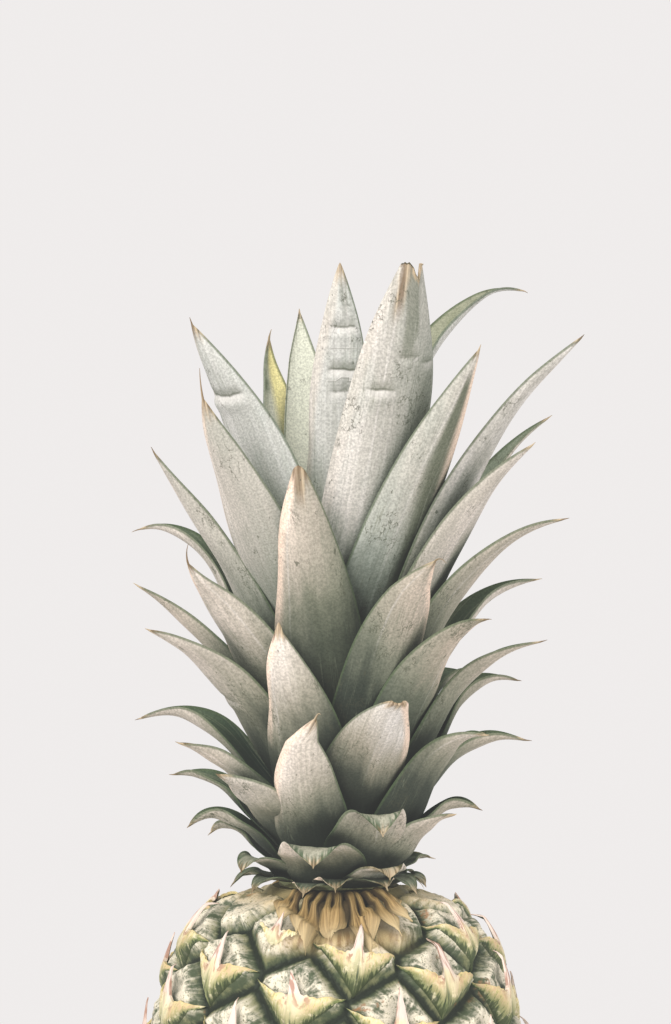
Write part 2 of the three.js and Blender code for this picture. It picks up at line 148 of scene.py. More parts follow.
# Heights of the skin, the way walked over it from the base up, and the running number of the eyes there
skin_heights = np.linspace(0.0, FRUIT_HEIGHT, SKIN_STEPS + 1)
skin_rise = np.gradient(skin_heights)
skin_walk_step = np.hypot(skin_rise, np.gradient(skin_radius(skin_heights)))
skin_walk = np.concatenate([[0.0], np.cumsum(skin_walk_step)[:-1]])


def eye_pitch(z):
    """From one eye to the next: widest at the belly, and less towards both ends."""
    return EYE_PITCH * (1.0 - EYE_SHRINK * ((z - BELLY_HEIGHT) / (FRUIT_HEIGHT / 2)) ** 2)


eyes_started = (skin_heights >= EYE_LOWEST) & (skin_heights <= NECK_EDGE)
eye_area = eye_pitch(skin_heights) ** 2 * EYE_CROWDING
eye_rate = 2 * math.pi * skin_radius(skin_heights) * skin_walk_step / eye_area
eye_number = np.cumsum(np.where(eyes_started, eye_rate, 0.0))[eyes_started]
eye_number = eye_number - eye_number[0]
number_heights = skin_heights[eyes_started]
EYE_COUNT = int(eye_number[-1])


def number_walk(number):
    """Way over the skin to a running number of the eyes, carried on past the first and last eye."""
    walk = np.interp(number_heights, skin_heights, skin_walk)
    inside = np.interp(number, eye_number, walk)
    before = np.minimum(number, 0.0) * (walk[END_STEPS] - walk[0]) / eye_number[END_STEPS]
    last = (walk[-1] - walk[-END_STEPS]) / (eye_number[-1] - eye_number[-END_STEPS])
    return inside + before + np.maximum(number - eye_number[-1], 0.0) * last


eye_ids = np.arange(EYE_COUNT + 1)
eye_angles = np.radians(EYE_START + EYE_TURN * eye_ids)
eye_heights = np.interp(eye_ids, eye_number, number_heights)
eye_half = eye_pitch(eye_heights) / 2
eye_middle = skin_point(eye_angles, eye_heights)
eye_out = skin_point(eye_angles, eye_heights, 1.0) - eye_middle
eye_right = np.stack([np.cos(eye_angles), np.sin(eye_angles), 0.0 * eye_angles], axis=-1)
eye_up = np.cross(eye_out, eye_right)
eye_chance = chance.random((EYE_COUNT + 1, 4))
eye_full = eye_heights <= EYE_HIGHEST  # the others are small pads round the neck, with no bract


def eye_place(points):
    """Each point's nearest eye, its place across and up that eye, and how far it lies inside the edge."""
    square = (points**2).sum(1)[:, None] - 2 * points @ eye_middle.T + (eye_middle**2).sum(1)[None, :]
    each = np.arange(len(points))
    first = square.argmin(1)
    nearest = square[each, first]
    square[each, first] = np.inf
    second = square.argmin(1)
    apart = np.linalg.norm(eye_middle[first] - eye_middle[second], axis=1)
    inside = (square[each, second] - nearest) / (2 * apart) / eye_half[first]
    offset = points - eye_middle[first]
    across = (offset * eye_right[first]).sum(1) / eye_half[first]
    up = (offset * eye_up[first]).sum(1) / eye_half[first]
    return first, across, up, inside


def pad_rise(eye, across, up, inside, z):
    """How far an eye's pad stands out of the groove: a dome with a rim, wrinkles and a pit over its bract."""
    dome = smooth(inside, 0.0, PAD_EDGE)
    turn = np.arctan2(across, up + WRINKLE_DROP)
    middle = np.hypot(across, up + WRINKLE_DROP)
    phase = 6.28 * eye_chance[eye, 0]
    wrinkle = np.sin(WRINKLES * turn + 2.5 * np.sin(6 * middle + phase)) * smooth(middle, 0.2, 0.8)
    pit = np.exp(-((across / 0.34) ** 2) - ((up - 0.2) / 0.22) ** 2)
    rim = np.exp(-(((inside - PAD_EDGE) / 0.13) ** 2))
    lump = 0.22 * np.sin(7 * across + phase) * np.sin(8 * up + 9 * eye_chance[eye, 1])
    rise = EYE_RISE * dome + dome * (WRINKLE_RISE * wrinkle + lump)
    rise = rise + RIM_RISE * rim - PIT_DEPTH * pit * dome
    return rise * (1 - 0.45 * smooth(z, PADS_SINK_FROM, NECK_EDGE)) - SKIN_INSET


def make_piece(name, points, faces, marks, material):
    """A smooth-shaded mesh of points in mm, with marks stored on its points for the material to read."""
    mesh = bpy.data.meshes.new(name)
    mesh.from_pydata((points * MM).tolist(), [], faces if isinstance(faces, list) else faces.tolist())
    for key, values in marks.items():
        kind, field = ("FLOAT", "value") if values.ndim == 1 else ("FLOAT_VECTOR", "vector")
        stored = mesh.attributes.new(key, kind, "POINT")
        stored.data.foreach_set(field, np.ascontiguousarray(values, np.float32).ravel())
    mesh.materials.append(material)
    mesh.shade_smooth()
    mesh.set_sharp_from_angle(angle=math.radians(SHARP_ANGLE))
    piece = bpy.data.objects.new(name, mesh)
    bpy.context.scene.collection.objects.link(piece)
    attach(piece, "root")
    return piece


def new_finish(name):
    material = bpy.data.materials.new(name)
    material.use_nodes = True
    material.node_tree.nodes.clear()
    return material


def add_node(kind, values=None, material=None, **settings):
    """A shader node. In values, by input, a socket is linked and a number or colour is set. Where no material
    is given, the node joins those of the first socket."""
    values = values or {}
    sockets = [value for value in values.values() if isinstance(value, bpy.types.NodeSocket)]
    tree = material.node_tree if material else sockets[0].id_data
    node = tree.nodes.new("ShaderNode" + kind)
    for key, value in settings.items():
        setattr(node, key, value)
    for key, value in values.items():
        if isinstance(value, bpy.types.NodeSocket):
            tree.links.new(value, node.inputs[key])
        else:
            node.inputs[key].default_value = value
    return node


def parts(vector):
    return add_node("SeparateXYZ", {0: vector}).outputs


def mark(material, name):
    """The three parts of a mark that a piece stores on its points. A single number is in each of them."""
    return parts(add_node("Attribute", material=material, attribute_name=name).outputs["Vector"])


def object_place(material):
    return add_node("TexCoord", material=material).outputs["Object"]


def compute(operation, a, b=0.0, c=0.0):
    return add_node("Math", {0: a, 1: b, 2: c}, operation=operation).outputs[0]


def plus(a, b):
    return compute("ADD", a, b)


def times(first, *others):
    product = first
    for value in others:
        product = compute("MULTIPLY", product, value)
    return product


def away(across, up):
    """How far a point lies from the middle."""
    return compute("POWER", plus(times(across, across), times(up, up)), 0.5)


def ramp(value, low, high):
    """0 at low and 1 at high, soft at both ends. low may be the larger."""
    start, end = (0.0, 1.0) if low < high else (1.0, 0.0)
    low, high = min(low, high), max(low, high)
    values = {"Value": value, "From Min": low, "From Max": high, "To Min": start, "To Max": end}
    return add_node("MapRange", values, interpolation_type="SMOOTHSTEP").outputs[0]


def blend(share, a, b, kind="MIX"):
    """Colour a, turned towards colour b by a share."""
    return add_node("Mix", {0: share, 6: a, 7: b}, data_type="RGBA", blend_type=kind).outputs[2]


def noise(place, scale, detail=3.0, rough=0.55):
    values = {"Vector": place, "Scale": scale, "Detail": detail, "Roughness": rough}
    return add_node("TexNoise", values).outputs[0]


def stretched(across, along, seed):
    """A place to read noise at, from distances across and along a fibre."""
    return add_node("CombineXYZ", {0: across, 1: along, 2: seed}).outputs[0]


def openness(material, distance):
    """1 where a point of a surface lies open, and less where others close it in within a distance in mm. The
    finishes darken their colours by it: painted shade.
    """
    shaded = add_node("AmbientOcclusion", {"Distance": distance * MM}, material, samples=SHADE_RAYS)
    return shaded.outputs["AO"]


def finish_with(colour, rough, shine, height, relief):
    """The surface, from its colour, roughness, shine and height, which stands out by relief in mm."""
    bump = add_node("Bump", {"Height": height, "Strength": BUMP_STRENGTH, "Distance": relief * MM})
    values = {"Base Color": colour, "Roughness": rough, "Specular IOR Level": shine}
    values["Normal"] = bump.outputs[0]
    shader = add_node("BsdfPrincipled", values)
    add_node("OutputMaterial", {"Surface": shader.outputs[0]})


def neck_lobe(angle):
    """How much of the withered skirt round the neck hangs down at an angle: it does so on two sides."""
    return smooth(np.cos(NECK_LOBES * (angle - NECK_LOBE_AT)), *NECK_LOBE_EDGE)


def angle_of(place):
    """The way round the fruit's axis at which a place lies, from the front."""
    x, y, _ = parts(place)
    return compute("ARCTAN2", x, times(y, -1.0))


def skin_lobe(place):
    """The same share of the skirt, worked out by the material."""
    turned = times(compute("SUBTRACT", angle_of(place), NECK_LOBE_AT), float(NECK_LOBES))
    return ramp(compute("COSINE", turned), *NECK_LOBE_EDGE)


def skin_finish():
    skin = new_finish("waxy_skin")
    across, up, inside = mark(skin, "eye")
    seed = mark(skin, "eye_seed")[0]
    place = object_place(skin)
    height = parts(place)[2]
    turn = compute("ARCTAN2", across, plus(up, WRINKLE_DROP))
    rays = noise(stretched(times(turn, 6.0), away(across, up), seed), 1.6, 4.0, 0.6)
    cloud = noise(place, 210.0, 4.0, 0.6)
    fine = noise(place, 1300.0, 3.0, 0.6)
    # The pads are green to olive, powdery but for their rims and feet, spotted brown, and golden low down
    green = blend(ramp(cloud, 0.42, 0.62), PAD_GREEN, PAD_OLIVE)
    wrinkled = compute("MULTIPLY_ADD", rays, 0.28, times(cloud, 0.72))
    powder = times(ramp(wrinkled, 0.38, 0.55), ramp(fine, 0.3, 0.48))
    within = compute("MULTIPLY_ADD", rays, 0.35, plus(inside, -0.17))
    # High on the shoulders the pads turn powdery all over: partly bloom, partly painted light on the top
    above = plus(compute("MULTIPLY_ADD", cloud, 0.5, plus(up, -0.25)), ramp(height, *POWDERY_AND_LIT_TOP))
    powder = times(powder, ramp(within, 0.08, 0.42), ramp(above, -0.6, -0.1))
    pad = blend(times(powder, 0.92), green, BLOOM)
    pad = blend(times(ramp(noise(place, 95.0, 4.0, 0.65), 0.62, 0.7), 0.8), pad, PAD_BROWN)
    ripe = times(ramp(height, *RIPE), ramp(noise(place, 45.0, 3.0), 0.3, 0.7))
    pad = blend(times(ripe, 0.7), pad, PAD_GOLD)
    # The grooves between the pads: their own dark green, made near black by painted shade
    ragged = compute("MULTIPLY_ADD", rays, 0.16, plus(inside, -0.08))
    colour = blend(ramp(ragged, 0.05, 0.17), GROOVE_GREEN_AND_SHADE, pad)
    # The neck is fibrous and brown under the skirt, and ochre beside it. Painted shade darkens it under the
    # crown, and darkens grooves and gaps
    lobe = skin_lobe(place)
    fibres = noise(stretched(times(angle_of(place), 26.0), 0.0, times(height, 90.0)), 1.0, 4.0)
    neck = blend(ramp(fibres, 0.38, 0.62), NECK_BROWN, NECK_OCHRE)
    # Painted shade: near black just under the crown, where the leaves above shade the neck
    neck = blend(ramp(height, *NECK_SHADED), neck, NECK_SHADE_DARK)
    colour = blend(times(ramp(height, *NECK_FIBROUS), lobe), colour, neck)
    top = ramp(compute("MULTIPLY_ADD", cloud, 0.008, height), *NECK_PALE)
    top = times(top, compute("SUBTRACT", 1.0, lobe))
    colour = blend(times(top, 0.7), colour, NECK_OCHRE)
    # Painted shade: grooves and gaps darken where other surfaces close them in, less on the open top of the
    # neck
    closed = ramp(openness(skin, 7.0), 0.75, 0.3)
    closed = times(closed, compute("MULTIPLY_ADD", top, -0.6, 1.0))
    colour = blend(times(closed, 0.8), colour, GROOVE_GREEN_AND_SHADE)
    finish_with(colour, 0.6, 0.25, plus(times(rays, 0.45), times(fine, 0.4)), 0.6)
    return skin


def spiral_grid():
    """The quads of the band of eyes and the numbers (i, j) of its points along both sets of spirals."""
    short, long = SPIRALS
    lap = long * EYE_STEPS
    last = EYE_COUNT * EYE_STEPS
    cells = []
    for i in range(lap):
        lowest = math.ceil(-short * i / long)
        highest = (last - short * (i + 1)) // long - 1
        j = np.arange(lowest, highest + 1)
        cells.append(np.stack([np.full_like(j, i), j], axis=1))
    cells = np.concatenate(cells)
    corners = np.concatenate([cells + step for step in ((0, 0), (1, 0), (1, 1), (0, 1))])
    laps = corners[:, 0] // lap
    corners = corners + np.stack([-laps * lap, laps * short * EYE_STEPS], axis=1)
    places, index = np.unique(corners, axis=0, return_inverse=True)
    return places, index.reshape(4, len(cells)).T


def closing_fans(quads, points, low, high):
    """Triangles that close the open ends of a band of quads to a point low on the axis and one high on it."""
    edges = np.concatenate([np.stack([quads[:, k], quads[:, (k + 1) % 4]], 1) for k in range(4)])
    there = {tuple(edge) for edge in edges.tolist()}
    free = [(a, b) for a, b in there if (b, a) not in there]
    return [(b, a, low if points[a, 2] < BELLY_HEIGHT else high) for a, b in sorted(free)]


def lathe(radii, heights, sides):
    """A closed round body of rings, from the axis to the axis."""
    turn = np.linspace(0, 2 * math.pi, sides, endpoint=False)
    rings = []
    for radius, z in zip(radii, heights):
        rings.append(np.stack([radius * np.sin(turn), -radius * np.cos(turn), np.full(sides, z)], 1))
    points = np.concatenate([*rings, [[0, 0, heights[0]]], [[0, 0, heights[-1]]]])
    ring, side = np.meshgrid(np.arange(len(radii) - 1), np.arange(sides), indexing="ij")
    a = (ring * sides + side).ravel()
    b = (ring * sides + (side + 1) % sides).ravel()
    faces = np.stack([a, b, b + sides, a + sides], 1).tolist()
    low, high, top = len(points) - 2, len(points) - 1, (len(radii) - 1) * sides
    for k in range(sides):
        faces.append([low, (k + 1) % sides, k])
        faces.append([high, top + k, top + (k + 1) % sides])
    return points, faces


def fruit_skin():
    places, quads = spiral_grid()
    steps = [((spiral * EYE_TURN + 180) % 360) - 180 for spiral in SPIRALS]
    angle = np.radians(EYE_START + (places @ np.array(steps)) / EYE_STEPS)
    z = np.interp(places @ np.array(SPIRALS) / EYE_STEPS, eye_number, number_heights)
    bare = skin_point(angle, z)
    eye, across, up, inside = eye_place(bare)
    band = skin_point(angle, z, pad_rise(eye, across, up, inside, z))
    band[:, 2] = np.maximum(band[:, 2], 0.0)
    ends = np.array([[0, 0, EYE_LOWEST + CORE_BLEND], [0, 0, NECK_EDGE - CORE_BLEND]])
    fans = closing_fans(quads, band, len(band), len(band) + 1)
    heights = FRUIT_HEIGHT * (0.5 - 0.5 * np.cos(np.linspace(0, math.pi, CORE_RINGS)))
    sunk = smooth(heights, EYE_LOWEST, EYE_LOWEST + CORE_BLEND)
    sunk = sunk * (1 - smooth(heights, NECK_EDGE - 1, FRUIT_HEIGHT))
    core_line = skin_point(0 * heights, heights, -CORE_INSET * sunk)
    core, core_faces = lathe(-core_line[:, 1], core_line[:, 2], CORE_SIDES)
    points = np.concatenate([band, ends, core])
    first = len(band) + 2
    faces = quads.tolist() + [list(fan) for fan in fans] + [[k + first for k in face] for face in core_faces]
    plain = len(points) - len(band)
    eye_mark = np.concatenate([np.stack([across, up, inside], 1), np.zeros((plain, 3))])
    seeds = np.concatenate([eye_chance[eye, 0] * 50, np.zeros(plain)])
    return make_piece("fruit_skin", points, faces, {"eye": eye_mark, "eye_seed": seeds}, skin_finish())


skin_piece = fruit_skin()
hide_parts("fruit")

# The bracts of the eyes. Each eye grew in the angle of a small leaf, a bract, which stays folded up over its
# lower half as two fleshy yellow-green wings, and ends in a thin papery spine that stands up over the eye.
# It has grown together with the eye, so it lies on the pad with its edges sunk into the groove.
BRACT_COLUMNS = 30
BRACT_ROWS = 14
BRACT_RISE = 1.5
BRACT_REACH = 1.0  # of the way to the eye's side corners, and to its lowest one
BRACT_DROP = 0.98
BRACT_THICKNESS = 0.9
SPINE_LENGTH = 11.0
SPINE_SHARE = 0.13  # of the bract's half width that the spine's root takes
SPINE_LEAN = 0.7
SPINE_LOWEST = 12.0
SPINE_HIGHEST = 151.0
STUB_SHARE = 0.25  # of a spine's length, where the eye is too low or too high for one
GROOVE_FILL = -1.4  # what lies over a groove sinks no deeper into it
BASE_CLEAR = 0.3  # from the plane that the fruit stands on
SKIRT_HIDES = (146.0, 150.0)  # heights over which the skirt round the neck takes the bracts' place
WING_YELLOW = (0.76, 0.63, 0.27, 1)
WING_GREEN = (0.19, 0.22, 0.075, 1)
WING_DARK_AND_SHADE = (0.018, 0.03, 0.012, 1)
WING_PALE = (0.82, 0.74, 0.5, 1)
WING_TAN = (0.62, 0.44, 0.24, 1)
SPINE_PAPER = (0.8, 0.66, 0.57, 1)
SPINE_BROWN = (0.36, 0.15, 0.09, 1)


def shared_corner(first, second):
    """Corner where two neighbours' cells meet the middle one's, from where the neighbours lie."""
    half_squares = np.array([first @ first, second @ second]) / 2
    return np.linalg.solve(np.array([first, second]), half_squares)


def eye_corners(n):
    """Left corner and lowest corner of an eye's cell, in mm from its middle."""
    def neighbour(step):
        turn = math.radians(((step * EYE_TURN + 180) % 360) - 180)
        rise = number_walk(n + step) - number_walk(n)
        return np.array([turn * skin_radius(eye_heights[n]), rise])

    short, long, side = neighbour(SPIRALS[0]), neighbour(SPIRALS[1]), neighbour(SIDE_SPIRAL)
    left = (shared_corner(long, side) + shared_corner(side, -short)) / 2
    return left, -shared_corner(short, long)


def on_skin(n, across, up, out):
    """Point of the skin at a distance across and up from the middle of eye n."""
    walk = np.interp(eye_heights[n], skin_heights, skin_walk) + up
    z = np.interp(walk, skin_walk, skin_heights)
    angle = eye_angles[n] + across / skin_radius(z)
    points = skin_point(angle, z, out)
    points[..., 2] = np.maximum(points[..., 2], BASE_CLEAR)
    return points


def sheet_faces(rows, columns):
    """Faces of a closed leaf of two grids of points, one behind the other, joined round their edge."""
    count = (rows + 1) * (columns + 1)
    row, column = np.meshgrid(np.arange(rows), np.arange(columns), indexing="ij")
    a = (row * (columns + 1) + column).ravel()
    front = np.stack([a, a + 1, a + columns + 2, a + columns + 1], 1)
    behind = front[:, ::-1] + count
    bottom = np.arange(columns)
    top = bottom + rows * (columns + 1)
    left = np.arange(rows) * (columns + 1)
    right = left + columns
    step = columns + 1
    sides = [
        np.stack([bottom + 1, bottom, bottom + count, bottom + 1 + count], 1),
        np.stack([top, top + 1, top + 1 + count, top + count], 1),
        np.stack([left, left + step, left + step + count, left + count], 1),
        np.stack([right + step, right, right + count, right + step + count], 1),
    ]
    return np.concatenate([front, behind, *sides])


def bract(n):
    """One bract: a closed leaf of two faces, in rows from its foot up to its free edge and its spine."""
    left, foot = eye_corners(n)
    foot = foot * BRACT_DROP
    half = eye_half[n]
    wide = np.linspace(-1, 1, BRACT_COLUMNS + 1)
    a = np.sign(wide) * np.abs(wide) ** 1.7
    b = np.linspace(0, 1, BRACT_ROWS + 1) ** 0.8
    a, b = np.meshgrid(a, b)
    reach = np.abs(a)
    corner_x = np.where(a < 0, left[0], -left[0]) * BRACT_REACH
    corner_y = np.where(a < 0, left[1], -left[1]) * 0.7 + 0.12 * half
    foot_x = foot[0] + (corner_x - foot[0]) * reach
    foot_y = foot[1] + (corner_y - foot[1]) * reach**0.9
    ragged = 0.05 * np.sin(14 * a + 6 * eye_chance[n, 1]) + 0.03 * np.sin(37 * a + 9 * eye_chance[n, 2])
    edge_y = (-0.16 + ragged * (1 - reach)) * half + (corner_y + 0.16 * half) * reach**1.7
    hidden = float(neck_lobe(eye_angles[n]) * smooth(eye_heights[n], *SKIRT_HIDES))
    spined = SPINE_LOWEST < eye_heights[n] < SPINE_HIGHEST
    length = SPINE_LENGTH * (0.75 + 0.5 * eye_chance[n, 3]) * half / (EYE_PITCH / 2)
    length = length * (1.0 if spined else STUB_SHARE) * (1 - hidden)
    tip = np.clip(1 - reach / SPINE_SHARE, 0, 1)
    spine = length * (0.25 * smooth(tip, 0, 0.5) + 0.75 * tip**1.6)
    drift = (eye_chance[n, 2] - 0.5) * 0.5
    across = foot_x + (corner_x * reach + drift * spine - foot_x) * b
    up = foot_y + (edge_y + spine - foot_y) * b
    share = np.clip((up - edge_y) / np.maximum(length, 1e-3), 0, 1)
    # It lies on the pad, swells between its edges, and has a keel that leans out as the spine
    inside = eye_place(on_skin(n, across.ravel(), up.ravel(), 0.0))[3]
    pad = EYE_RISE * smooth(inside, 0.0, PAD_EDGE).reshape(a.shape) - SKIN_INSET
    swell = np.sin(b * math.pi * 0.62) * (1 - reach**3)
    ridge = 0.8 * np.exp(-((a / 0.12) ** 2)) * smooth(b, 0.1, 0.7)
    lean = SPINE_LEAN * share**1.5
    pleat = 0.12 * np.sin(46 * a + 5 * b) * (1 - share)
    rise = np.maximum(pad, GROOVE_FILL) + 0.35 + BRACT_RISE * swell + ridge + lean + pleat - 4.0 * hidden
    thick = BRACT_THICKNESS * np.clip(1 - share * 0.65, 0.25, 1)
    points = np.concatenate([on_skin(n, across, up, out).reshape(-1, 3) for out in (rise, rise - thick)])
    wing = np.stack([a, b, np.full_like(a, eye_chance[n, 0] * 40)], -1).reshape(-1, 3)
    marks = {"wing": np.tile(wing, (2, 1)), "spine": np.tile(share.ravel(), 2)}
    return points, sheet_faces(BRACT_ROWS, BRACT_COLUMNS), marks


def joined(sheets):
    """The points, faces and marks of several sheets as those of one."""
    starts = np.cumsum([0] + [len(points) for points, _, _ in sheets])
    points = np.concatenate([points for points, _, _ in sheets])
    faces = np.concatenate([faces + start for (_, faces, _), start in zip(sheets, starts)])
    marks = {key: np.concatenate([marks[key] for _, _, marks in sheets]) for key in sheets[0][2]}
    return points, faces, marks


def wing_finish():
    wing = new_finish("bract_wing")
    a, b, seed = mark(wing, "wing")
    share = mark(wing, "spine")[0]
    place = object_place(wing)
    reach = compute("ABSOLUTE", a)
    fibre = noise(stretched(times(a, 26.0), times(b, 2.5), seed), 1.0, 4.0, 0.65)
    cloud = noise(place, 260.0, 3.0)
    blotch = noise(place, 420.0, 4.0, 0.65)
    # The wings are yellow to pale, green low down and in blotches, withered in places and dark at the foot
    yellow = blend(ramp(fibre, 0.4, 0.62), WING_YELLOW, WING_PALE)
    green_share = plus(ramp(b, 0.8, 0.3), ramp(times(cloud, reach), 0.35, 0.6))
    colour = blend(times(green_share, 0.85), yellow, WING_GREEN)
    colour = blend(times(ramp(blotch, 0.52, 0.66), 0.75), colour, WING_PALE)
    colour = blend(times(ramp(blotch, 0.44, 0.3), 0.7), colour, WING_GREEN)
    colour = blend(times(ramp(fibre, 0.46, 0.34), 0.55), colour, WING_GREEN)
    withered = times(ramp(noise(place, 60.0, 2.0), 0.45, 0.58), ramp(b, 0.15, 0.7))
    colour = blend(times(withered, ramp(fibre, 0.35, 0.6)), colour, WING_TAN)
    edge = times(ramp(b, 0.9, 1.0), ramp(reach, 0.1, 0.3))
    colour = blend(times(edge, 0.6), colour, WING_YELLOW)
    # Near black at the foot, where the bract sinks into the groove: its own dark green and painted shade
    dark_foot = plus(b, times(plus(fibre, -0.5), 1.3))
    colour = blend(times(ramp(dark_foot, 0.34, 0.1), 0.85), colour, WING_DARK_AND_SHADE)
    # The keel and the spine are papery, with brown tears and a brown point
    keel = times(ramp(reach, 0.34, 0.04), ramp(b, 0.2, 0.7))
    colour = blend(times(keel, 0.75), colour, WING_PALE)
    paper = compute("MAXIMUM", ramp(share, 0.02, 0.2), times(keel, ramp(b, 0.7, 0.95)))
    colour = blend(paper, colour, SPINE_PAPER)
    spot = noise(stretched(times(a, 9.0), times(b, 5.0), seed), 1.0)
    torn = times(ramp(spot, 0.5, 0.6), ramp(reach, 0.5, 0.15), ramp(b, 0.45, 0.85))
    torn = compute("MAXIMUM", times(torn, 0.8), ramp(share, 0.86, 1.1))
    colour = blend(torn, colour, SPINE_BROWN)
    # Painted shade where other surfaces close the bract in
    closed = ramp(openness(wing, 6.0), 0.7, 0.25)
    colour = blend(times(closed, 0.7), colour, WING_DARK_AND_SHADE)
    finish_with(colour, 0.55, 0.35, fibre, 0.35)
    return wing


bract_piece = make_piece("eye_bracts", *joined([bract(n) for n in eye_ids[eye_full]]), wing_finish())

# The neck's bracts. The last bracts under the crown have no eye and wither: narrow ochre strips, folded along
# their middle, which hang over the shoulder in front and behind like a pleated skirt with dark slots in it.
# They have grown on the neck, so their tops are sunk into it.
LOBE_STRIPS = 11
LOBE_HALF = math.radians(40)
STRIP_ROWS = 22
STRIP_COLUMNS = 8
STRIP_TOP = FRUIT_HEIGHT - 0.4
STRIP_LENGTHS = (12.0, 29.0)
STRIP_WIDTHS = (3.9, 5.6)
STRIP_RIDGE = 2.1
STRIP_THICKNESS = 0.7
OCHRE = (0.25, 0.15, 0.055, 1)
OCHRE_PALE = (0.46, 0.31, 0.13, 1)
OCHRE_BROWN = (0.17, 0.095, 0.038, 1)
OCHRE_DARK_AND_SHADE = (0.06, 0.035, 0.018, 1)
STRIP_END = (0.66, 0.53, 0.3, 1)


def strip(k):
    """One strip, in rows from the neck down to its end."""
    draw = chance.random(6)
    lobe, place = divmod(k, LOBE_STRIPS)
    share = (place + 0.5 + 0.8 * (draw[0] - 0.5)) / LOBE_STRIPS * 2 - 1
    angle = NECK_LOBE_AT + 2 * math.pi * lobe / NECK_LOBES + LOBE_HALF * share
    longer = (STRIP_LENGTHS[1] - STRIP_LENGTHS[0]) * neck_lobe(angle) * (0.6 + 0.6 * draw[1])
    length = STRIP_LENGTHS[0] + longer
    width = STRIP_WIDTHS[0] + (STRIP_WIDTHS[1] - STRIP_WIDTHS[0]) * draw[2]
    a, b = np.meshgrid(np.linspace(-1, 1, STRIP_COLUMNS + 1), np.linspace(0, 1, STRIP_ROWS + 1))
    walk = np.interp(STRIP_TOP, skin_heights, skin_walk) - b * length
    z = np.interp(walk, skin_walk, skin_heights)
    spread = 0.47 + 0.15 * np.exp(-((b / 0.2) ** 2)) + 0.95 * smooth(b, 0.32, 0.72)
    half = 0.5 * width * spread * (1 - smooth(b, 0.6, 1.0) ** 1.2) + 0.1
    bend = (draw[3] - 0.5) * 4.0 * b**2 + 0.35 * np.sin(5 * b + 6 * draw[0])
    turn = angle + (a * half + bend) / skin_radius(z)
    sharp = 1 - np.abs(a) ** (1.0 + draw[5])
    ridge = STRIP_RIDGE * (0.6 + 0.7 * draw[4]) * sharp * (0.5 + 0.5 * np.sin(math.pi * b**0.6))
    eye, across, up, inside = eye_place(skin_point(turn.ravel(), z.ravel()))
    under = pad_rise(eye, across, up, inside, z.ravel()).reshape(z.shape)
    out = 0.2 + np.maximum(under, GROOVE_FILL) * smooth(b, 0.1, 0.4)
    out = out + ridge * (1 - 0.5 * b**2) - 0.4 * smooth(b, 0.7, 1.0)
    points = np.concatenate([skin_point(turn, z, k).reshape(-1, 3) for k in (out, out - STRIP_THICKNESS)])
    lie = np.stack([a, b, np.full_like(a, 60 * draw[0])], -1).reshape(-1, 3)
    marks = {"strip": np.tile(lie, (2, 1)), "strip_shade": np.full(len(points), draw[1])}
    return points, sheet_faces(STRIP_ROWS, STRIP_COLUMNS)[:, ::-1], marks


def strip_finish():
    dried = new_finish("withered_bract")
    a, b, seed = mark(dried, "strip")
    shade = mark(dried, "strip_shade")[0]
    fibre = noise(stretched(times(a, 4.0), times(b, 1.8), seed), 1.0, 4.0, 0.65)
    golden = blend(shade, OCHRE, OCHRE_BROWN)
    colour = blend(ramp(fibre, 0.4, 0.66), golden, OCHRE_PALE)
    colour = blend(ramp(fibre, 0.44, 0.3), colour, OCHRE_DARK_AND_SHADE)
    colour = blend(times(ramp(b, 0.55, 0.95), 0.8), colour, STRIP_END)
    # Painted shade: each strip's sides darken high up, in the slots between the strips
    dark = times(ramp(compute("ABSOLUTE", a), 0.35, 0.9), ramp(b, 0.85, 0.4))
    colour = blend(dark, colour, OCHRE_DARK_AND_SHADE)
    # Painted shade where other surfaces close the strip in
    closed = ramp(openness(dried, 6.0), 0.7, 0.2)
    colour = blend(times(closed, 0.9), colour, OCHRE_DARK_AND_SHADE)
    finish_with(colour, 0.7, 0.2, fibre, 0.4)
    return dried


strips = [strip(k) for k in range(NECK_LOBES * LOBE_STRIPS)]
neck_piece = make_piece("neck_bracts", *joined(strips), strip_finish())

# The stalk. The fruit was cut from its plant here: a round end of pale woody fibres with a browner rind.
# The solid is right as it is, and only gets its finish: spots of fibre ends inside a brown rim.
STALK_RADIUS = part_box("stalk")[1].x
CUT_PALE = (0.66, 0.52, 0.31, 1)
CUT_BROWN = (0.24, 0.15, 0.075, 1)


def stalk_finish():
    cut = new_finish("cut_stalk")
    place = object_place(cut)
    x, y, _ = parts(place)
    ends = noise(place, 1500.0, 2.0)
    cloud = noise(place, 220.0, 3.0)
    rind = ramp(away(x, y), 0.72 * STALK_RADIUS, STALK_RADIUS)
    share = plus(times(ramp(ends, 0.5, 0.66), 0.5), times(cloud, 0.3))
    colour = blend(compute("MAXIMUM", share, rind), CUT_PALE, CUT_BROWN)
    finish_with(colour, 0.85, 0.15, ends, 0.5)
    return cut


def finish_solid(node, material):
    """Gives a solid that stays as it is its finish."""
    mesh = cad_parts[node].data
    mesh.materials.clear()
    mesh.materials.append(material)


finish_solid("stalk", stalk_finish())

# The crown's stem. A short tapered stem that carries on from the fruit's core, hidden by the leaves round it:
# pale green and fibrous, with the scars of leaves across it. The solid only gets its finish.
STEM_PALE = (0.5, 0.5, 0.26, 1)
STEM_SCAR = (0.2, 0.17, 0.08, 1)


def stem_finish():
    stem = new_finish("crown_stem")
    place = object_place(stem)
    cloud = noise(place, 160.0, 4.0)
    scar = compute("SINE", plus(times(parts(place)[2], 1400.0), times(cloud, 6.0)))
    colour = blend(ramp(scar, 0.5, 0.95), STEM_PALE, STEM_SCAR)
    finish_with(colour, 0.7, 0.25, cloud, 0.5)
    return stem


finish_solid("crown_stem", stem_finish())

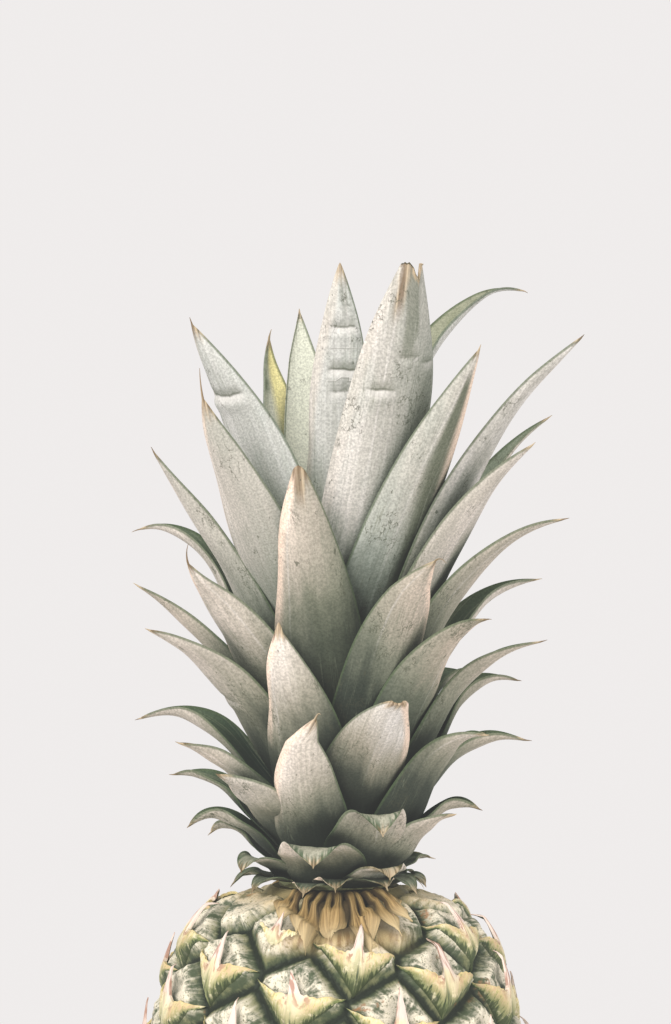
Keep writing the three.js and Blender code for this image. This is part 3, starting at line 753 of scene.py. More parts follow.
# The crown's leaves. Stiff, tough channels that clasp the stem one above the other and end in a dried point.
# Their outer face is grey and powdery with fine veins along it, and their inner face a smooth dark green.
# Each fine leaf takes the place of its solid, from the same sizes, and adds its creases, curls and dry tip.
CROWN_FOOT = FRUIT_HEIGHT
STEM_FOOT_RADIUS = 17.0
STEM_TOP_RADIUS = 4.0
STEM_HEIGHT = 84.0
LEAF_CLEAR = 1.05  # from the stem to the middle of a blade
LEAF_CELL = 1.15  # length of a mesh cell along a leaf
LEAF_COLUMNS = 20
LEAF_MIDDLE = 1.3
LEAF_EDGE = 0.34
TIP_ROWS = 7
FOOT_WIDTH = 0.78
FOOT_LENGTH = 0.25
TAPER = 0.95  # power of the curve in which a leaf narrows to its tip
CLASP_WITHIN = 16.0  # distances from the axis, up to which a leaf clasps the stem, and from which it is free
FREE_BEYOND = 36.0
CLASP_BEND = math.radians(62)  # how far half a blade is bent at most, at the stem
CHANNEL_BEND = math.radians(34)  # the same where it is free, and how much more at its tip
CHANNEL_GAIN = math.radians(14)
HANDLE = 0.35  # of a leaf's span, for the curve of its centre line
SIDE_MARGIN = 0.5  # left free inside the box of the solids
TOP_MARGIN = 0.3
PAST_CREASES = 9.0  # a distance from any crease that is too far to show

# The leaves to the front, from the heart down, set against the photograph: name, degrees round from
# the front, height of the root on the stem, reach and height of the tip, degrees by which the line rises at
# its root and at its tip, width, fullness (more is broader towards the tip), and how far the tip sways aside.
FRONT_LEAVES = [
    ("heart_tall", 7, 74, 14, 186, 84, 88, 27, 3.0, 0),
    ("back_left_upright", -146, 69, 39, 165, 82, 79, 24, 3.0, 0),
    ("left_upper_broad", -54, 64, 52, 166, 78, 62, 37, 3.6, 0),
    ("right_folded", 118, 58, 64, 184, 82, 20, 27, 2.6, 0),
    ("front_tall", 25, 56, 52, 183, 76, 82, 35, 4.2, 0),
    ("right_front_broad", 42, 53, 62, 158, 73, 60, 34, 3.0, 0),
    ("left_broad", -40, 50, 59, 144, 74, 70, 32, 3.2, 0),
    ("left_straight", -70, 46, 57, 129, 70, 57, 27, 2.4, 0),
    ("right_long_thin", 66, 45, 79, 162, 66, 38, 30, 2.3, 0),
    ("right_rear_high", 112, 43, 70, 141, 62, 38, 24, 2.6, 0),
    ("right_high", 58, 39, 67, 131, 65, 38, 30, 2.6, 0),
    ("left_curled_tip", -102, 38, 62, 108, 56, 4, 27, 2.6, 0),
    ("front_middle", -10, 36, 46, 124, 73, 80, 30, 3.2, -3),
    ("left_front_middle", -44, 33, 62, 96, 66, 44, 31, 3.0, 0),
    ("right_middle", 69, 32, 71, 110, 66, 16, 28, 2.3, 0),
    ("left_thin", -76, 30, 60, 90, 62, 34, 27, 2.4, 0),
    ("right_rear_middle", 116, 29, 69, 91, 56, 8, 25, 2.6, 0),
    ("front_right_middle", 30, 27, 52, 98, 60, 52, 31, 4.0, 0),
    ("left_low_broad", -56, 24, 65, 78, 64, 26, 29, 3.0, 0),
    ("rear_right_dark", 132, 24, 58, 61, 50, -14, 26, 2.8, 0),
    ("right_front_middle", 48, 22, 58, 82, 60, 26, 31, 2.8, 0),
    ("right_arched", 78, 20, 62, 73, 54, 8, 26, 2.3, 0),
    ("left_arched", -104, 18, 61, 49, 54, -18, 26, 2.6, 0),
    ("front_left_blunt", -23, 17, 44, 77, 56, 82, 28, 3.6, 0),
    ("right_rear_low", 112, 16, 60, 60, 46, -14, 25, 2.6, 0),
    ("left_low", -64, 14, 51, 44, 52, 20, 25, 2.6, 0),
    ("front_right_blunt", 14, 14, 52, 57, 56, 44, 28, 4.6, 5),
    ("right_low_arched", 92, 13, 57, 43, 52, -14, 24, 2.4, 0),
    ("left_rear_low", -116, 11, 55, 31, 38, -10, 20, 2.4, 0),
    ("left_low_front", -44, 11, 49, 36, 52, 32, 27, 2.8, 0),
    ("right_low_front", 54, 9, 54, 47, 42, 2, 27, 2.6, 0),
    ("front_low_torn", -16, 8, 46, 53, 48, 86, 24, 3.6, 3),
    ("left_foot_arched", -88, 7, 44, 18, 48, -34, 22, 2.6, 0),
    ("right_foot_arched", 86, 7, 43, 23, 42, -24, 22, 2.4, 0),
    ("right_foot_front", 56, 5, 42, 23, 34, 10, 20, 2.4, 0),
    ("left_foot_rear", -118, 5, 43, 14, 34, -34, 19, 2.6, 0),
    ("front_right_reflexed", 19, 3, 42, 19, 52, -80, 24, 3.0, 0),
    ("left_foot_reflexed", -60, 3, 32, 6, 40, -76, 20, 3.0, 0),
    ("right_foot_rear", 112, 3, 31, 7, 24, -20, 15, 2.4, 0),
    ("front_foot_reflexed", -9, 2, 42, 10, 42, -72, 26, 3.0, 0),
    ("right_foot_reflexed", 32, 1, 30, 5, 30, -80, 20, 3.0, 0),
    ("right_foot_drooping", 72, 1, 28, 1, 22, -70, 15, 2.8, 0),
]

# The leaves behind, which the photograph hides, go up the stem in a spiral
BACK_LEAVES = 14
BACK_FROM = 146.0
BACK_SPREAD = 86.0
BACK_PHASE = 0.55
GOLDEN = 0.618034

# What single leaves have of their own.
# Their shape: creases are folds across the blade (share of the length, from and to across, depth). dry and
# thread are the lengths of the dried tip and its point, hook and curl the degrees by which they bend up, and
# turn those by which the tip bends aside. blunt is the tip's width as a share, and split how deep it is torn.
# bulge pushes the middle aside, and flat opens the channel.
# Their finish: bands lie along the blade (place across, half width, from and to along, olive, brown), where
# olive is painted shade in a fold of the channel. pale is how light the blade is, painted_shade_reach how far
# up from its foot painted shade darkens it, and fold_highlight the place of a painted highlight along a fold.
# lit_side is the side that faces the light, painted lighter and with a painted peach rim highlight, rim_width
# how wide that rim is, and rim_strength how strong. striped, olive and yellow are the looks of the inner
# face.
LEAF_TRAITS = {
    "heart_tall": dict(
        creases=[(0.84, -0.45, 0.7, 0.7), (0.725, -0.35, 0.75, 0.9), (0.665, -0.3, 0.5, 0.5)],
        bands=[(0.25, 0.55, 0.86, 0.98, 0.5, 0.0)],
        dry=6, thread=0.5, lit_side=-1, pale=0.95, painted_shade_reach=0.02),
    "front_tall": dict(
        creases=[(0.805, -0.1, 0.35, 0.6), (0.725, -0.6, -0.15, 0.8), (0.79, 0.55, 0.85, 0.5)],
        bands=[(-0.38, 0.3, 0.89, 1.1, 0.0, 0.85), (0.12, 0.5, 0.79, 1.1, 0.8, 0.0),
               (0.3, 1.2, 0.05, 1.1, 0.36, 0.0)],
        dry=0.4, blunt=0.24, split=0.037, thread=0.4, lit_side=-1, pale=0.5, painted_shade_reach=0.1, fold_highlight=-0.35, rim_strength=0.1),
    "left_upper_broad": dict(
        creases=[(0.8, -0.75, 0.7, 0.8)], dry=5, thread=2.5, pale=0.9, painted_shade_reach=0.1, fold_highlight=-0.6),
    "right_folded": dict(
        creases=[(0.5, -0.9, 0.9, 1.4)], dry=3, thread=2.0, hook=-25, olive=0.7, pale=0.9, painted_shade_reach=0.2),
    "right_front_broad": dict(
        bands=[(0.12, 0.5, 0.1, 0.95, 1.0, 0.0)],
        dry=2, pale=0.1, painted_shade_reach=0.2, fold_highlight=-0.32, rim_width=9.0, rim_strength=0.95),
    "left_broad": dict(
        bands=[(0.3, 1.0, 0.1, 1.1, 0.22, 0.0)],
        dry=7, thread=9.0, hook=6, curl=14, pale=0.35, fold_highlight=-0.5),
    "back_left_upright": dict(dry=3, thread=3.5, hook=24, yellow=1.0, pale=0.8),
    "left_curled_tip": dict(dry=3, thread=3.0, hook=-14, pale=0.6, painted_shade_reach=0.14),
    "left_arched": dict(pale=0.5, painted_shade_reach=0.2),
    "left_foot_arched": dict(pale=0.4, painted_shade_reach=0.2),
    "right_rear_middle": dict(pale=0.6, painted_shade_reach=0.16),
    "front_middle": dict(
        bands=[(0.0, 0.7, 0.9, 1.1, 0.5, 0.75), (0.4, 1.1, 0.2, 1.1, 0.34, 0.0)],
        dry=4, blunt=0.1, thread=1.2, pale=0.25, fold_highlight=-0.55, painted_shade_reach=0.42),
    "left_front_middle": dict(dry=2, thread=6.0, hook=16, curl=50, pale=0.45),
    "front_right_middle": dict(
        dry=2, thread=4.5, hook=-4, curl=-95, turn=14, pale=0.1, fold_highlight=-0.5, painted_shade_reach=0.43),
    "front_left_blunt": dict(dry=1.5, thread=3.0, hook=10, blunt=0.08, pale=0.6, painted_shade_reach=0.5, bulge=3.0),
    "front_right_blunt": dict(dry=1.2, blunt=0.2, thread=0.6, pale=1.0, painted_shade_reach=0.47),
    "front_low_torn": dict(
        bands=[(0.2, 0.3, 0.9, 1.1, 0.3, 0.6)],
        dry=3, thread=5.0, hook=-20, curl=-80, turn=30, pale=0.5, painted_shade_reach=0.33),
    "left_low_broad": dict(creases=[(0.52, -0.9, 0.1, 0.4)], dry=2, thread=1.5, pale=0.5),
    "right_front_middle": dict(dry=2, thread=2.0, hook=-15, pale=0.0, painted_shade_reach=0.34),
    "left_low_front": dict(pale=0.7, painted_shade_reach=0.32),
    "right_low_front": dict(pale=0.4, painted_shade_reach=0.48),
    "right_long_thin": dict(pale=0.95, painted_shade_reach=0.1),
    "right_high": dict(pale=0.6, painted_shade_reach=0.16),
    "front_right_reflexed": dict(
        dry=1.5, thread=0.8, striped=1.0, flat=0.92, rim_strength=0.1, pale=0.6, painted_shade_reach=0.28),
    "front_foot_reflexed": dict(
        dry=1.5, thread=0.8, striped=1.0, flat=0.92, rim_strength=0.1, pale=0.5, painted_shade_reach=0.24),
    "right_foot_reflexed": dict(dry=4, thread=0.8, striped=0.8, flat=0.8, rim_strength=0.1, pale=0.6, painted_shade_reach=0.1),
    "left_foot_reflexed": dict(dry=1.5, thread=0.8, striped=0.8, flat=0.8, rim_strength=0.1),
    "right_foot_drooping": dict(dry=1.5, thread=0.8, striped=0.6, flat=0.6, rim_strength=0.1),
}
PLAIN_LEAF = dict(
    creases=[], bands=[], dry=2.0, blunt=0.0, split=0.0, bulge=0.0, flat=0.0,
    striped=0.0, olive=0.0, yellow=0.0, rim_width=4.0)
OUTER_SHADE_DEEP = (0.018, 0.023, 0.019, 1)
OUTER_COOL = (0.19, 0.193, 0.145, 1)
OUTER_TAUPE = (0.39, 0.345, 0.27, 1)
OUTER_BEIGE = (0.75, 0.62, 0.505, 1)
OUTER_MINT = (0.47, 0.51, 0.46, 1)
OUTER_PALE_AND_HIGHLIGHT = (0.81, 0.77, 0.73, 1)
PEACH_RIM_HIGHLIGHT = (0.88, 0.69, 0.55, 1)
OUTER_MIST = (0.55, 0.555, 0.525, 1)
OUTER_FOLD_SHADE = (0.1, 0.105, 0.068, 1)
MARGIN_GREEN = (0.07, 0.095, 0.045, 1)
INNER_SHADE_DEEP = (0.012, 0.03, 0.024, 1)
INNER_GREEN = (0.075, 0.1, 0.06, 1)
INNER_STREAK = (0.24, 0.25, 0.18, 1)
INNER_YOUNG = (0.63, 0.64, 0.53, 1)
INNER_POWDER = (0.35, 0.34, 0.26, 1)
INNER_OLIVE = (0.2, 0.205, 0.115, 1)
INNER_YELLOW = (0.66, 0.6, 0.28, 1)
DRY_STRAW = (0.54, 0.42, 0.27, 1)
DRY_BROWN = (0.16, 0.09, 0.045, 1)
SCAR_BROWN = (0.07, 0.065, 0.045, 1)
GRAIN_DARK = (0.78, 0.78, 0.78, 1)
GRAIN_LIGHT = (1.18, 1.18, 1.18, 1)


def back_leaf(n):
    """A leaf behind, from the foot of the stem up, in the same numbers as those to the front."""
    t = (n + 0.5) / BACK_LEAVES
    belly = 4 * t * (1 - t)
    azimuth = BACK_FROM + BACK_SPREAD * ((BACK_PHASE + n * GOLDEN) % 1)
    reach = 34 + 4 * t + 29 * belly
    lift, fall = 28 + 56 * t**0.7, -40 + 118 * t
    width = 20 + 6 * t + 6 * belly
    return f"back_{n + 1:02d}", azimuth, 4 + 70 * t, reach, 8 + 172 * t, lift, fall, width, 2.7, 0


def centre_line(root, reach, height, lift, fall, hook, s):
    """Points (reach, height) and directions of a leaf's centre line at shares s of it. hook curls its end."""
    radius = STEM_FOOT_RADIUS + (STEM_TOP_RADIUS - STEM_FOOT_RADIUS) * min(root / STEM_HEIGHT, 1)
    start, end = np.array([radius + LEAF_CLEAR, root]), np.array([reach, height])
    lift, fall = math.radians(lift), math.radians(fall)
    handle = HANDLE * np.linalg.norm(end - start) / math.cos((lift - fall) / 4) ** 2
    leave = start + handle * np.array([math.cos(lift), math.sin(lift)])
    arrive = end - handle * np.array([math.cos(fall), math.sin(fall)])
    t = s[:, None]
    points = (1 - t) ** 3 * start + 3 * (1 - t) ** 2 * t * leave + 3 * (1 - t) * t**2 * arrive + t**3 * end
    ways = 3 * (1 - t) ** 2 * (leave - start) + 6 * (1 - t) * t * (arrive - leave) + 3 * t**2 * (end - arrive)
    angles = np.unwrap(np.arctan2(ways[:, 1], ways[:, 0])) + math.radians(hook) * smooth(s, 0.88, 1.0)
    steps = np.linalg.norm(np.diff(points, axis=0), axis=1)
    middles = (angles[1:] + angles[:-1]) / 2
    moved = np.stack([steps * np.cos(middles), steps * np.sin(middles)], 1)
    points = np.concatenate([[start], start + np.cumsum(moved, axis=0)])
    return points, angles, np.concatenate([[0.0], np.cumsum(steps)])


def leaf_creases(creases, S, U, length):
    """Depth of a leaf's creases, and for the finish the way past the nearest one and how strong it is."""
    dent, past_nearest, strength = np.zeros_like(U), np.full_like(U, PAST_CREASES), np.zeros_like(U)
    for at, start, end, depth in creases:
        line = at + (0.2 * np.sin(5 * U + 20 * at) + 0.15 * np.sin(17 * U)) / length
        across = smooth(U, start - 0.1, start + 0.08) * (1 - smooth(U, end - 0.08, end + 0.1))
        past = (S - line) * length
        fold = np.exp(-((past / 1.4) ** 2)) - np.exp(-(((past + 3.0) / 2.2) ** 2))
        dent = dent + 0.8 * across * depth * fold
        nearer = np.abs(past) < np.abs(past_nearest)
        past_nearest = np.where(nearer, past, past_nearest)
        strength = np.where(nearer, across * min(depth, 1.0), strength)
    return dent, past_nearest, strength


def leaf_line(leaf, traits, draw, foot):
    """Shares along a leaf, 1 where its blade ends and 2 at its dried point, and there its places (reach and
    height), its directions and the way walked, and the length of the blade."""
    _, azimuth, root, reach, height, lift, fall, *_ = leaf
    rows = int(math.hypot(reach, height - root) * 1.15 / LEAF_CELL)
    s = np.concatenate([np.linspace(0, 1, rows + 1), 1 + np.arange(1, TIP_ROWS + 1) / TIP_ROWS])
    hook = traits.get("hook", 12 * (draw[0] - 0.5))
    line, angles, walked = centre_line(root, reach, height, lift, fall, hook, s[: rows + 1])
    length = walked[-1]
    step = traits.get("thread", 0.8 + 1.5 * draw[1]) / TIP_ROWS
    curl = math.radians(traits.get("curl", hook)) / TIP_ROWS
    for _ in range(TIP_ROWS):
        angles = np.append(angles, angles[-1] + curl)
        onwards = step * np.array([math.cos(angles[-1]), math.sin(angles[-1])])
        line = np.concatenate([line, [line[-1] + onwards]])
        walked = np.append(walked, walked[-1] + step)
    # The dried point stays inside the box of the solids
    way_out = np.array([math.sin(math.radians(azimuth)), -math.cos(math.radians(azimuth))])
    side_room = np.where(way_out > 0, np.array(cad_box[1])[:2], np.array(cad_box[0])[:2]) / MM / way_out
    room = [side_room.min() - SIDE_MARGIN, cad_box[1][2] / MM - foot - TOP_MARGIN]
    line = line - np.maximum(line.max(0) - room, 0) * smooth(s, 0.4, 1.0)[:, None]
    return s, line, angles, walked, length


def leaf_half(s, width, fullness, blunt, split):
    """Half the width of a leaf along it: narrow at the foot, full, and tapered to a point or a blunt end."""
    blade, beyond = np.clip(s, 0, 1), np.clip(s - 1, 0, 1)
    swell = FOOT_WIDTH + (1 - FOOT_WIDTH) * smooth(blade, 0, FOOT_LENGTH)
    taper = (1 - blade**fullness) ** TAPER * (1 - blunt) + blunt * (1 - beyond**2 * (split == 0))
    return 0.5 * width * swell * taper + 0.3 * (1 - beyond) ** 1.2 + 0.08


def leaf_marks(leaf, traits, draw, S, U, half, walked, length, creased):
    """What the finish has to know of each point of a leaf: where it lies, and how that leaf looks there."""
    _, azimuth, root, *_ = leaf
    past, crease = creased
    dry = smooth(walked + 0.8 * np.sin(11 * U + 9 * draw[5]), length - traits["dry"] - 1.5, length)
    young = smooth(root, 34.0, 66.0)
    olive, brown = np.zeros_like(U), np.zeros_like(U)
    # The olive bands are painted shade in folds of the channel; the brown ones are dried tissue
    for at, reach_across, start, end, fold_shade, is_brown in traits["bands"]:
        reach_across = reach_across * (0.4 + 0.6 * smooth(S, start, 1.0))
        there = 1 - smooth(np.abs(U - at), 0.55 * reach_across, reach_across)
        there = there * smooth(S, start - 0.03, start + 0.05) * (1 - smooth(S, end - 0.05, end + 0.02))
        olive, brown = np.maximum(olive, there * fold_shade), np.maximum(brown, there * is_brown)
    # The side of the blade that faces the light: it is painted lighter, with a painted peach rim highlight
    lit_side = traits.get("lit_side", 1 if azimuth >= 0 else -1)
    rim_strength = traits.get("rim_strength", 0.95 - 0.75 * young)
    # Where a painted highlight runs along a fold of the channel
    fold_highlight = (U - traits.get("fold_highlight", 1.4 * (draw[6] - 0.5))) * half
    pale = traits.get("pale", min(0.15 + 0.25 * draw[7] + 0.6 * young, 1.0))
    # How far up from its foot painted shade darkens the leaf, where the one below covers it
    painted_shade_reach = traits.get("painted_shade_reach", 0.31 - 0.2 * young - 0.1 * (1 - smooth(root, 4.0, 14.0)))
    looks = {
        "blade": (U * half, walked, 97 * draw[0]),
        "place": (S, U * lit_side, 0.0),
        "edge": (half * (1 - np.abs(U)), past, crease),
        "tint": (pale, painted_shade_reach, dry),
        "band": (olive, brown, fold_highlight),
        "inner": (traits["striped"], traits["olive"], traits["yellow"]),
        "age": (young, traits["rim_width"], rim_strength),
    }
    marks = {}
    for key, values in looks.items():
        one_face = np.stack([np.broadcast_to(value, U.shape) for value in values], -1).reshape(-1, 3)
        marks[key] = np.tile(one_face, (2, 1))
    marks["place"][U.size :, 2] = 1.0  # the inner face
    return marks


def leaf_blade(leaf, traits, foot=CROWN_FOOT):
    """One leaf: rows from its foot to its dried point, on its outer and its inner face."""
    _, azimuth, _, _, _, _, _, width, fullness, sway = leaf
    traits = PLAIN_LEAF | traits
    draw = chance.random(10)
    s, line, angles, walked, length = leaf_line(leaf, traits, draw, foot)
    half = leaf_half(s, width, fullness, traits["blunt"], traits["split"])
    blade = np.clip(s, 0, 1)
    # The foot is bent round the stem, and the rest is a channel that faces the way the leaf leaves it
    free = smooth(line[:, 0], CLASP_WITHIN, FREE_BEYOND)
    clasp = np.maximum(line[:, 0], half / CLASP_BEND)
    bend = (CHANNEL_BEND + CHANNEL_GAIN * blade**2) * (1 - traits["flat"] * smooth(blade, 0.15, 0.45))
    arc = clasp + (half / bend - clasp) * free
    normal = np.stack([-1 + free * (1 - np.sin(angles)), free * np.cos(angles)], 1)
    normal = normal / np.linalg.norm(normal, axis=1)[:, None]
    u = np.sin(np.linspace(-1, 1, LEAF_COLUMNS + 1) * math.pi / 2)
    S, U = np.meshgrid(s, u, indexing="ij")
    half, arc, walked, blade = half[:, None], arc[:, None], walked[:, None], blade[:, None]
    out = np.array([math.sin(math.radians(azimuth)), -math.cos(math.radians(azimuth)), 0.0])
    side = np.array([math.cos(math.radians(azimuth)), math.sin(math.radians(azimuth)), 0.0])
    up = np.array([0.0, 0.0, 1.0])
    inwards = normal[:, None, :1] * out + normal[:, None, 1:] * up
    along = np.cos(angles)[:, None, None] * out + np.sin(angles)[:, None, None] * up
    aside = math.radians(traits.get("turn", 6 * (draw[4] - 0.5)))
    drift = sway * blade**2 + traits["bulge"] * np.sin(math.pi * blade)
    drift = drift + math.tan(aside) * (walked - 0.86 * length).clip(0)
    middle = line[:, None, :1] * out + line[:, None, 1:] * up + foot * up + side * drift[..., None]
    phi = half / arc * U
    spot = middle + inwards * (arc * (1 - np.cos(phi)))[..., None] + side * (arc * np.sin(phi))[..., None]
    facing = inwards * np.cos(phi)[..., None] - side * np.sin(phi)[..., None]
    # A torn tip falls away to a notch, beyond which a narrow strip of the blade still stands
    notch = np.where(U < 0.52, np.clip((U + 0.2) / 0.6, 0, 1), 0.25 * np.abs(U - 0.8))
    notch = traits["split"] * (notch + 0.1 * np.abs(np.sin(11 * U)) + 0.3 * smooth(-U, 0.75, 1.0))
    spot = spot - along * (notch * smooth(S, 0.8, 1.0) * length)[..., None]
    # Waves of the blade, folds along it, a slight roll of the margins and the creases across it
    broad = np.clip(half / 7, 0, 1)
    wave = 0.6 * np.sin(6.3 * (1.4 * S + draw[2])) * U**2 * smooth(S, 0.25, 0.6) * broad
    wave = wave + 0.3 * np.sin(6.3 * (2.6 * S + draw[3]) + 2.0 * U) * broad
    fold = 0.35 * np.abs(((U * 2.2 + draw[8]) % 1) - 0.5) * broad
    roll = 0.7 * np.abs(U) ** 7 * smooth(S, 0.2, 0.5) * broad
    dent, *creased = leaf_creases(traits["creases"], S, U, length)
    relief = wave + fold + roll + dent
    thick = (LEAF_EDGE + (LEAF_MIDDLE - LEAF_EDGE) * (1 - np.abs(U) ** 2.5)) * (1 - 0.55 * blade)
    thick = np.minimum(thick, 1.2 * half)
    points = np.stack([spot + facing * (relief + k * 0.5 * thick)[..., None] for k in (-1, 1)])
    marks = leaf_marks(leaf, traits, draw, S, U, half, walked, length, creased)
    return points.reshape(-1, 3), sheet_faces(len(s) - 1, LEAF_COLUMNS), marks


def leaf_finish():
    leaf = new_finish("crown_leaf")
    x, y, seed = mark(leaf, "blade")
    s, u, inner = mark(leaf, "place")
    edge, past, crease = mark(leaf, "edge")
    pale, painted_shade_reach, dry = mark(leaf, "tint")
    olive, brown, fold_highlight = mark(leaf, "band")
    striped, inner_olive, inner_yellow = mark(leaf, "inner")
    young, rim_width, rim_strength = mark(leaf, "age")

    def streaks(across, along, detail=3.0):
        return noise(stretched(times(x, across), times(y, along), seed), 1.0, detail, 0.6)

    broad, vein, fine = streaks(0.16, 0.014), streaks(1.1, 0.02), streaks(3.2, 0.06)
    cloud, powder = streaks(0.09, 0.045, 4.0), streaks(1.5, 1.5, 2.0)
    # Outer face: near black where the leaf below covers it, which is painted shade, then grey green, then a
    # powdery beige or mint
    drift = plus(times(plus(broad, -0.5), 0.3), times(plus(cloud, -0.5), 0.3))
    # rise also lifts the side that faces the light, as painted light
    rise = compute("SUBTRACT", plus(plus(s, drift), times(u, 0.12)), painted_shade_reach)
    low = blend(young, blend(pale, OUTER_COOL, OUTER_TAUPE), OUTER_MINT)
    high = blend(times(young, 0.75), blend(pale, OUTER_BEIGE, OUTER_PALE_AND_HIGHLIGHT), OUTER_MIST)
    # From the foot the blade turns from grey green to beige or mint: its own colour, with painted shade low
    # down
    outer = blend(ramp(rise, 0.1, 0.44), low, high)
    outer = blend(times(ramp(cloud, 0.42, 0.6), 0.35), outer, low)
    outer = blend(times(ramp(vein, 0.62, 0.4), 0.25), outer, OUTER_COOL)
    # Painted shade: the side away from the light turns to the darker low colour
    side_shade = times(ramp(plus(u, times(drift, 2.0)), 0.6, -0.8), compute("SUBTRACT", 0.5, times(pale, 0.35)))
    outer = blend(side_shade, outer, low)
    # Painted shade, near black, at the foot where the leaf below covers it
    outer = blend(times(ramp(rise, 0.24, -0.08), 0.92), outer, OUTER_SHADE_DEEP)
    # Painted shade: olive bands in the folds of the channel
    outer = blend(times(olive, ramp(vein, 0.2, 0.5), 0.9), outer, OUTER_FOLD_SHADE)
    # Painted highlight: a peach rim of light along the edge of the side that faces the light
    within = compute("DIVIDE", edge, rim_width)
    rim_highlight = times(ramp(u, 0.1, 0.4), ramp(within, 1.15, 0.5), ramp(rise, 0.0, 0.3))
    outer = blend(times(rim_highlight, rim_strength), outer, PEACH_RIM_HIGHLIGHT)
    lines = compute("ABSOLUTE", plus(streaks(0.42, 0.016, 2.0), -0.5))
    outer = blend(times(ramp(lines, 0.014, 0.0), ramp(cloud, 0.45, 0.6), 0.5), outer, OUTER_COOL)
    # Painted highlight: a pale line along a fold of the channel, above the painted shade of the foot
    fold_highlight = ramp(compute("ABSOLUTE", plus(fold_highlight, times(drift, 2.0))), 0.5, 0.1)
    outer = blend(times(fold_highlight, ramp(rise, 0.0, 0.3), 0.22), outer, OUTER_PALE_AND_HIGHLIGHT)
    # A green margin on the side away from the light: partly the margin's own green, partly painted shade
    margin = times(ramp(edge, 0.85, 0.3), ramp(u, 0.5, -0.2))
    outer = blend(times(margin, 0.75), outer, MARGIN_GREEN)
    # Inner face: deep green, darker towards the foot as painted shade, pale on the young leaves, powdery with
    # green stripes where it bends over
    deep = blend(ramp(plus(s, times(broad, 0.5)), 0.45, 1.15), INNER_SHADE_DEEP, INNER_GREEN)
    deep = blend(times(ramp(vein, 0.5, 0.68), 0.55), deep, INNER_STREAK)
    deep = blend(times(young, ramp(cloud, 0.3, 0.5), 0.95), deep, INNER_YOUNG)
    powdery = blend(times(ramp(vein, 0.6, 0.42), ramp(edge, 5.0, 1.0)), INNER_POWDER, INNER_GREEN)
    inside = blend(striped, deep, powdery)
    inside = blend(inner_olive, inside, INNER_OLIVE)
    inside = blend(times(inner_yellow, ramp(u, -0.3, 0.25)), inside, INNER_YELLOW)
    inside = blend(times(ramp(edge, 1.1, 0.4), 0.7), inside, MARGIN_GREEN)
    colour = blend(inner, outer, inside)
    # Both faces: grains of powder, the dried tip, the creases with painted shade above and a painted
    # highlight below them, and thin cracks and scars
    colour = blend(1.0, colour, blend(ramp(powder, 0.3, 0.7), GRAIN_DARK, GRAIN_LIGHT), "MULTIPLY")
    fibres = blend(ramp(vein, 0.4, 0.62), DRY_BROWN, DRY_STRAW)
    colour = blend(compute("MAXIMUM", times(dry, 0.9), brown), colour, fibres)
    # Painted shade just above each crease
    above = times(crease, ramp(past, 4.0, 0.0), ramp(past, -0.2, 0.2), 0.6)
    colour = blend(above, colour, OUTER_FOLD_SHADE)
    # Painted highlight just below each crease
    below = times(crease, ramp(past, -3.5, -0.8), ramp(past, 0.0, -0.8), 0.5)
    colour = blend(below, colour, OUTER_PALE_AND_HIGHLIGHT)
    # A thin brown line on each crease: partly its own brown, partly painted shade
    cut = times(crease, ramp(compute("ABSOLUTE", past), 0.55, 0.15), 0.8)
    colour = blend(cut, colour, SCAR_BROWN)
    crack = compute("ABSOLUTE", plus(streaks(0.3, 0.16, 4.0), -0.5))
    crack = times(ramp(crack, 0.022, 0.004), ramp(streaks(0.07, 0.05), 0.55, 0.6), 0.7)
    colour = blend(crack, colour, SCAR_BROWN)
    scar = times(ramp(streaks(0.42, 0.22, 4.0), 0.68, 0.72), 0.75)
    colour = blend(scar, colour, SCAR_BROWN)
    # Painted shade where other leaves close a point in
    closed = ramp(openness(leaf, 15.0), 0.62, 0.1)
    colour = blend(times(closed, 0.85), colour, OUTER_SHADE_DEEP)
    finish_with(colour, 0.72, 0.22, plus(times(vein, 0.7), times(fine, 0.3)), 0.25)
    return leaf


leaf_surface = leaf_finish()
for leaf in FRONT_LEAVES + [back_leaf(n) for n in range(BACK_LEAVES)]:
    points, faces, marks = leaf_blade(leaf, LEAF_TRAITS.get(leaf[0], {}))
    leaf_piece = make_piece(f"fine_{leaf[0]}", points, faces, marks, leaf_surface)
    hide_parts(f"leaf_{leaf[0]}")

# The basal leaves. The crown's lowest scales are small, thin and half dried, and lie round its foot between
# the neck and the lowest leaves, their points bent down over the neck's bracts.
BASAL_LEAVES = 13
BASAL_FROM = -170.0
BASAL_REACH = (25.0, 31.0)
BASAL_WIDTH = (11.0, 16.0)
BASAL_LIFT = 0.8  # of their stem over that of the other leaves


def basal_leaf(n):
    draw = chance.random(5)
    azimuth = BASAL_FROM + 360 * (n * GOLDEN % 1)
    reach = BASAL_REACH[0] + (BASAL_REACH[1] - BASAL_REACH[0]) * draw[0]
    width = BASAL_WIDTH[0] + (BASAL_WIDTH[1] - BASAL_WIDTH[0]) * draw[1]
    root, height, lift = 1.0 + 1.2 * draw[2], 2.2 * draw[3] - 0.6, 14 + 14 * draw[4]
    return f"basal_{n:02d}", azimuth, root, reach, height, lift, -55, width, 2.6, 0


basal = []
for n in range(BASAL_LEAVES):
    basal.append(leaf_blade(basal_leaf(n), dict(dry=0.8, striped=0.5, thread=1.5), CROWN_FOOT + BASAL_LIFT))
basal_piece = make_piece("basal_leaves", *joined(basal), leaf_surface)

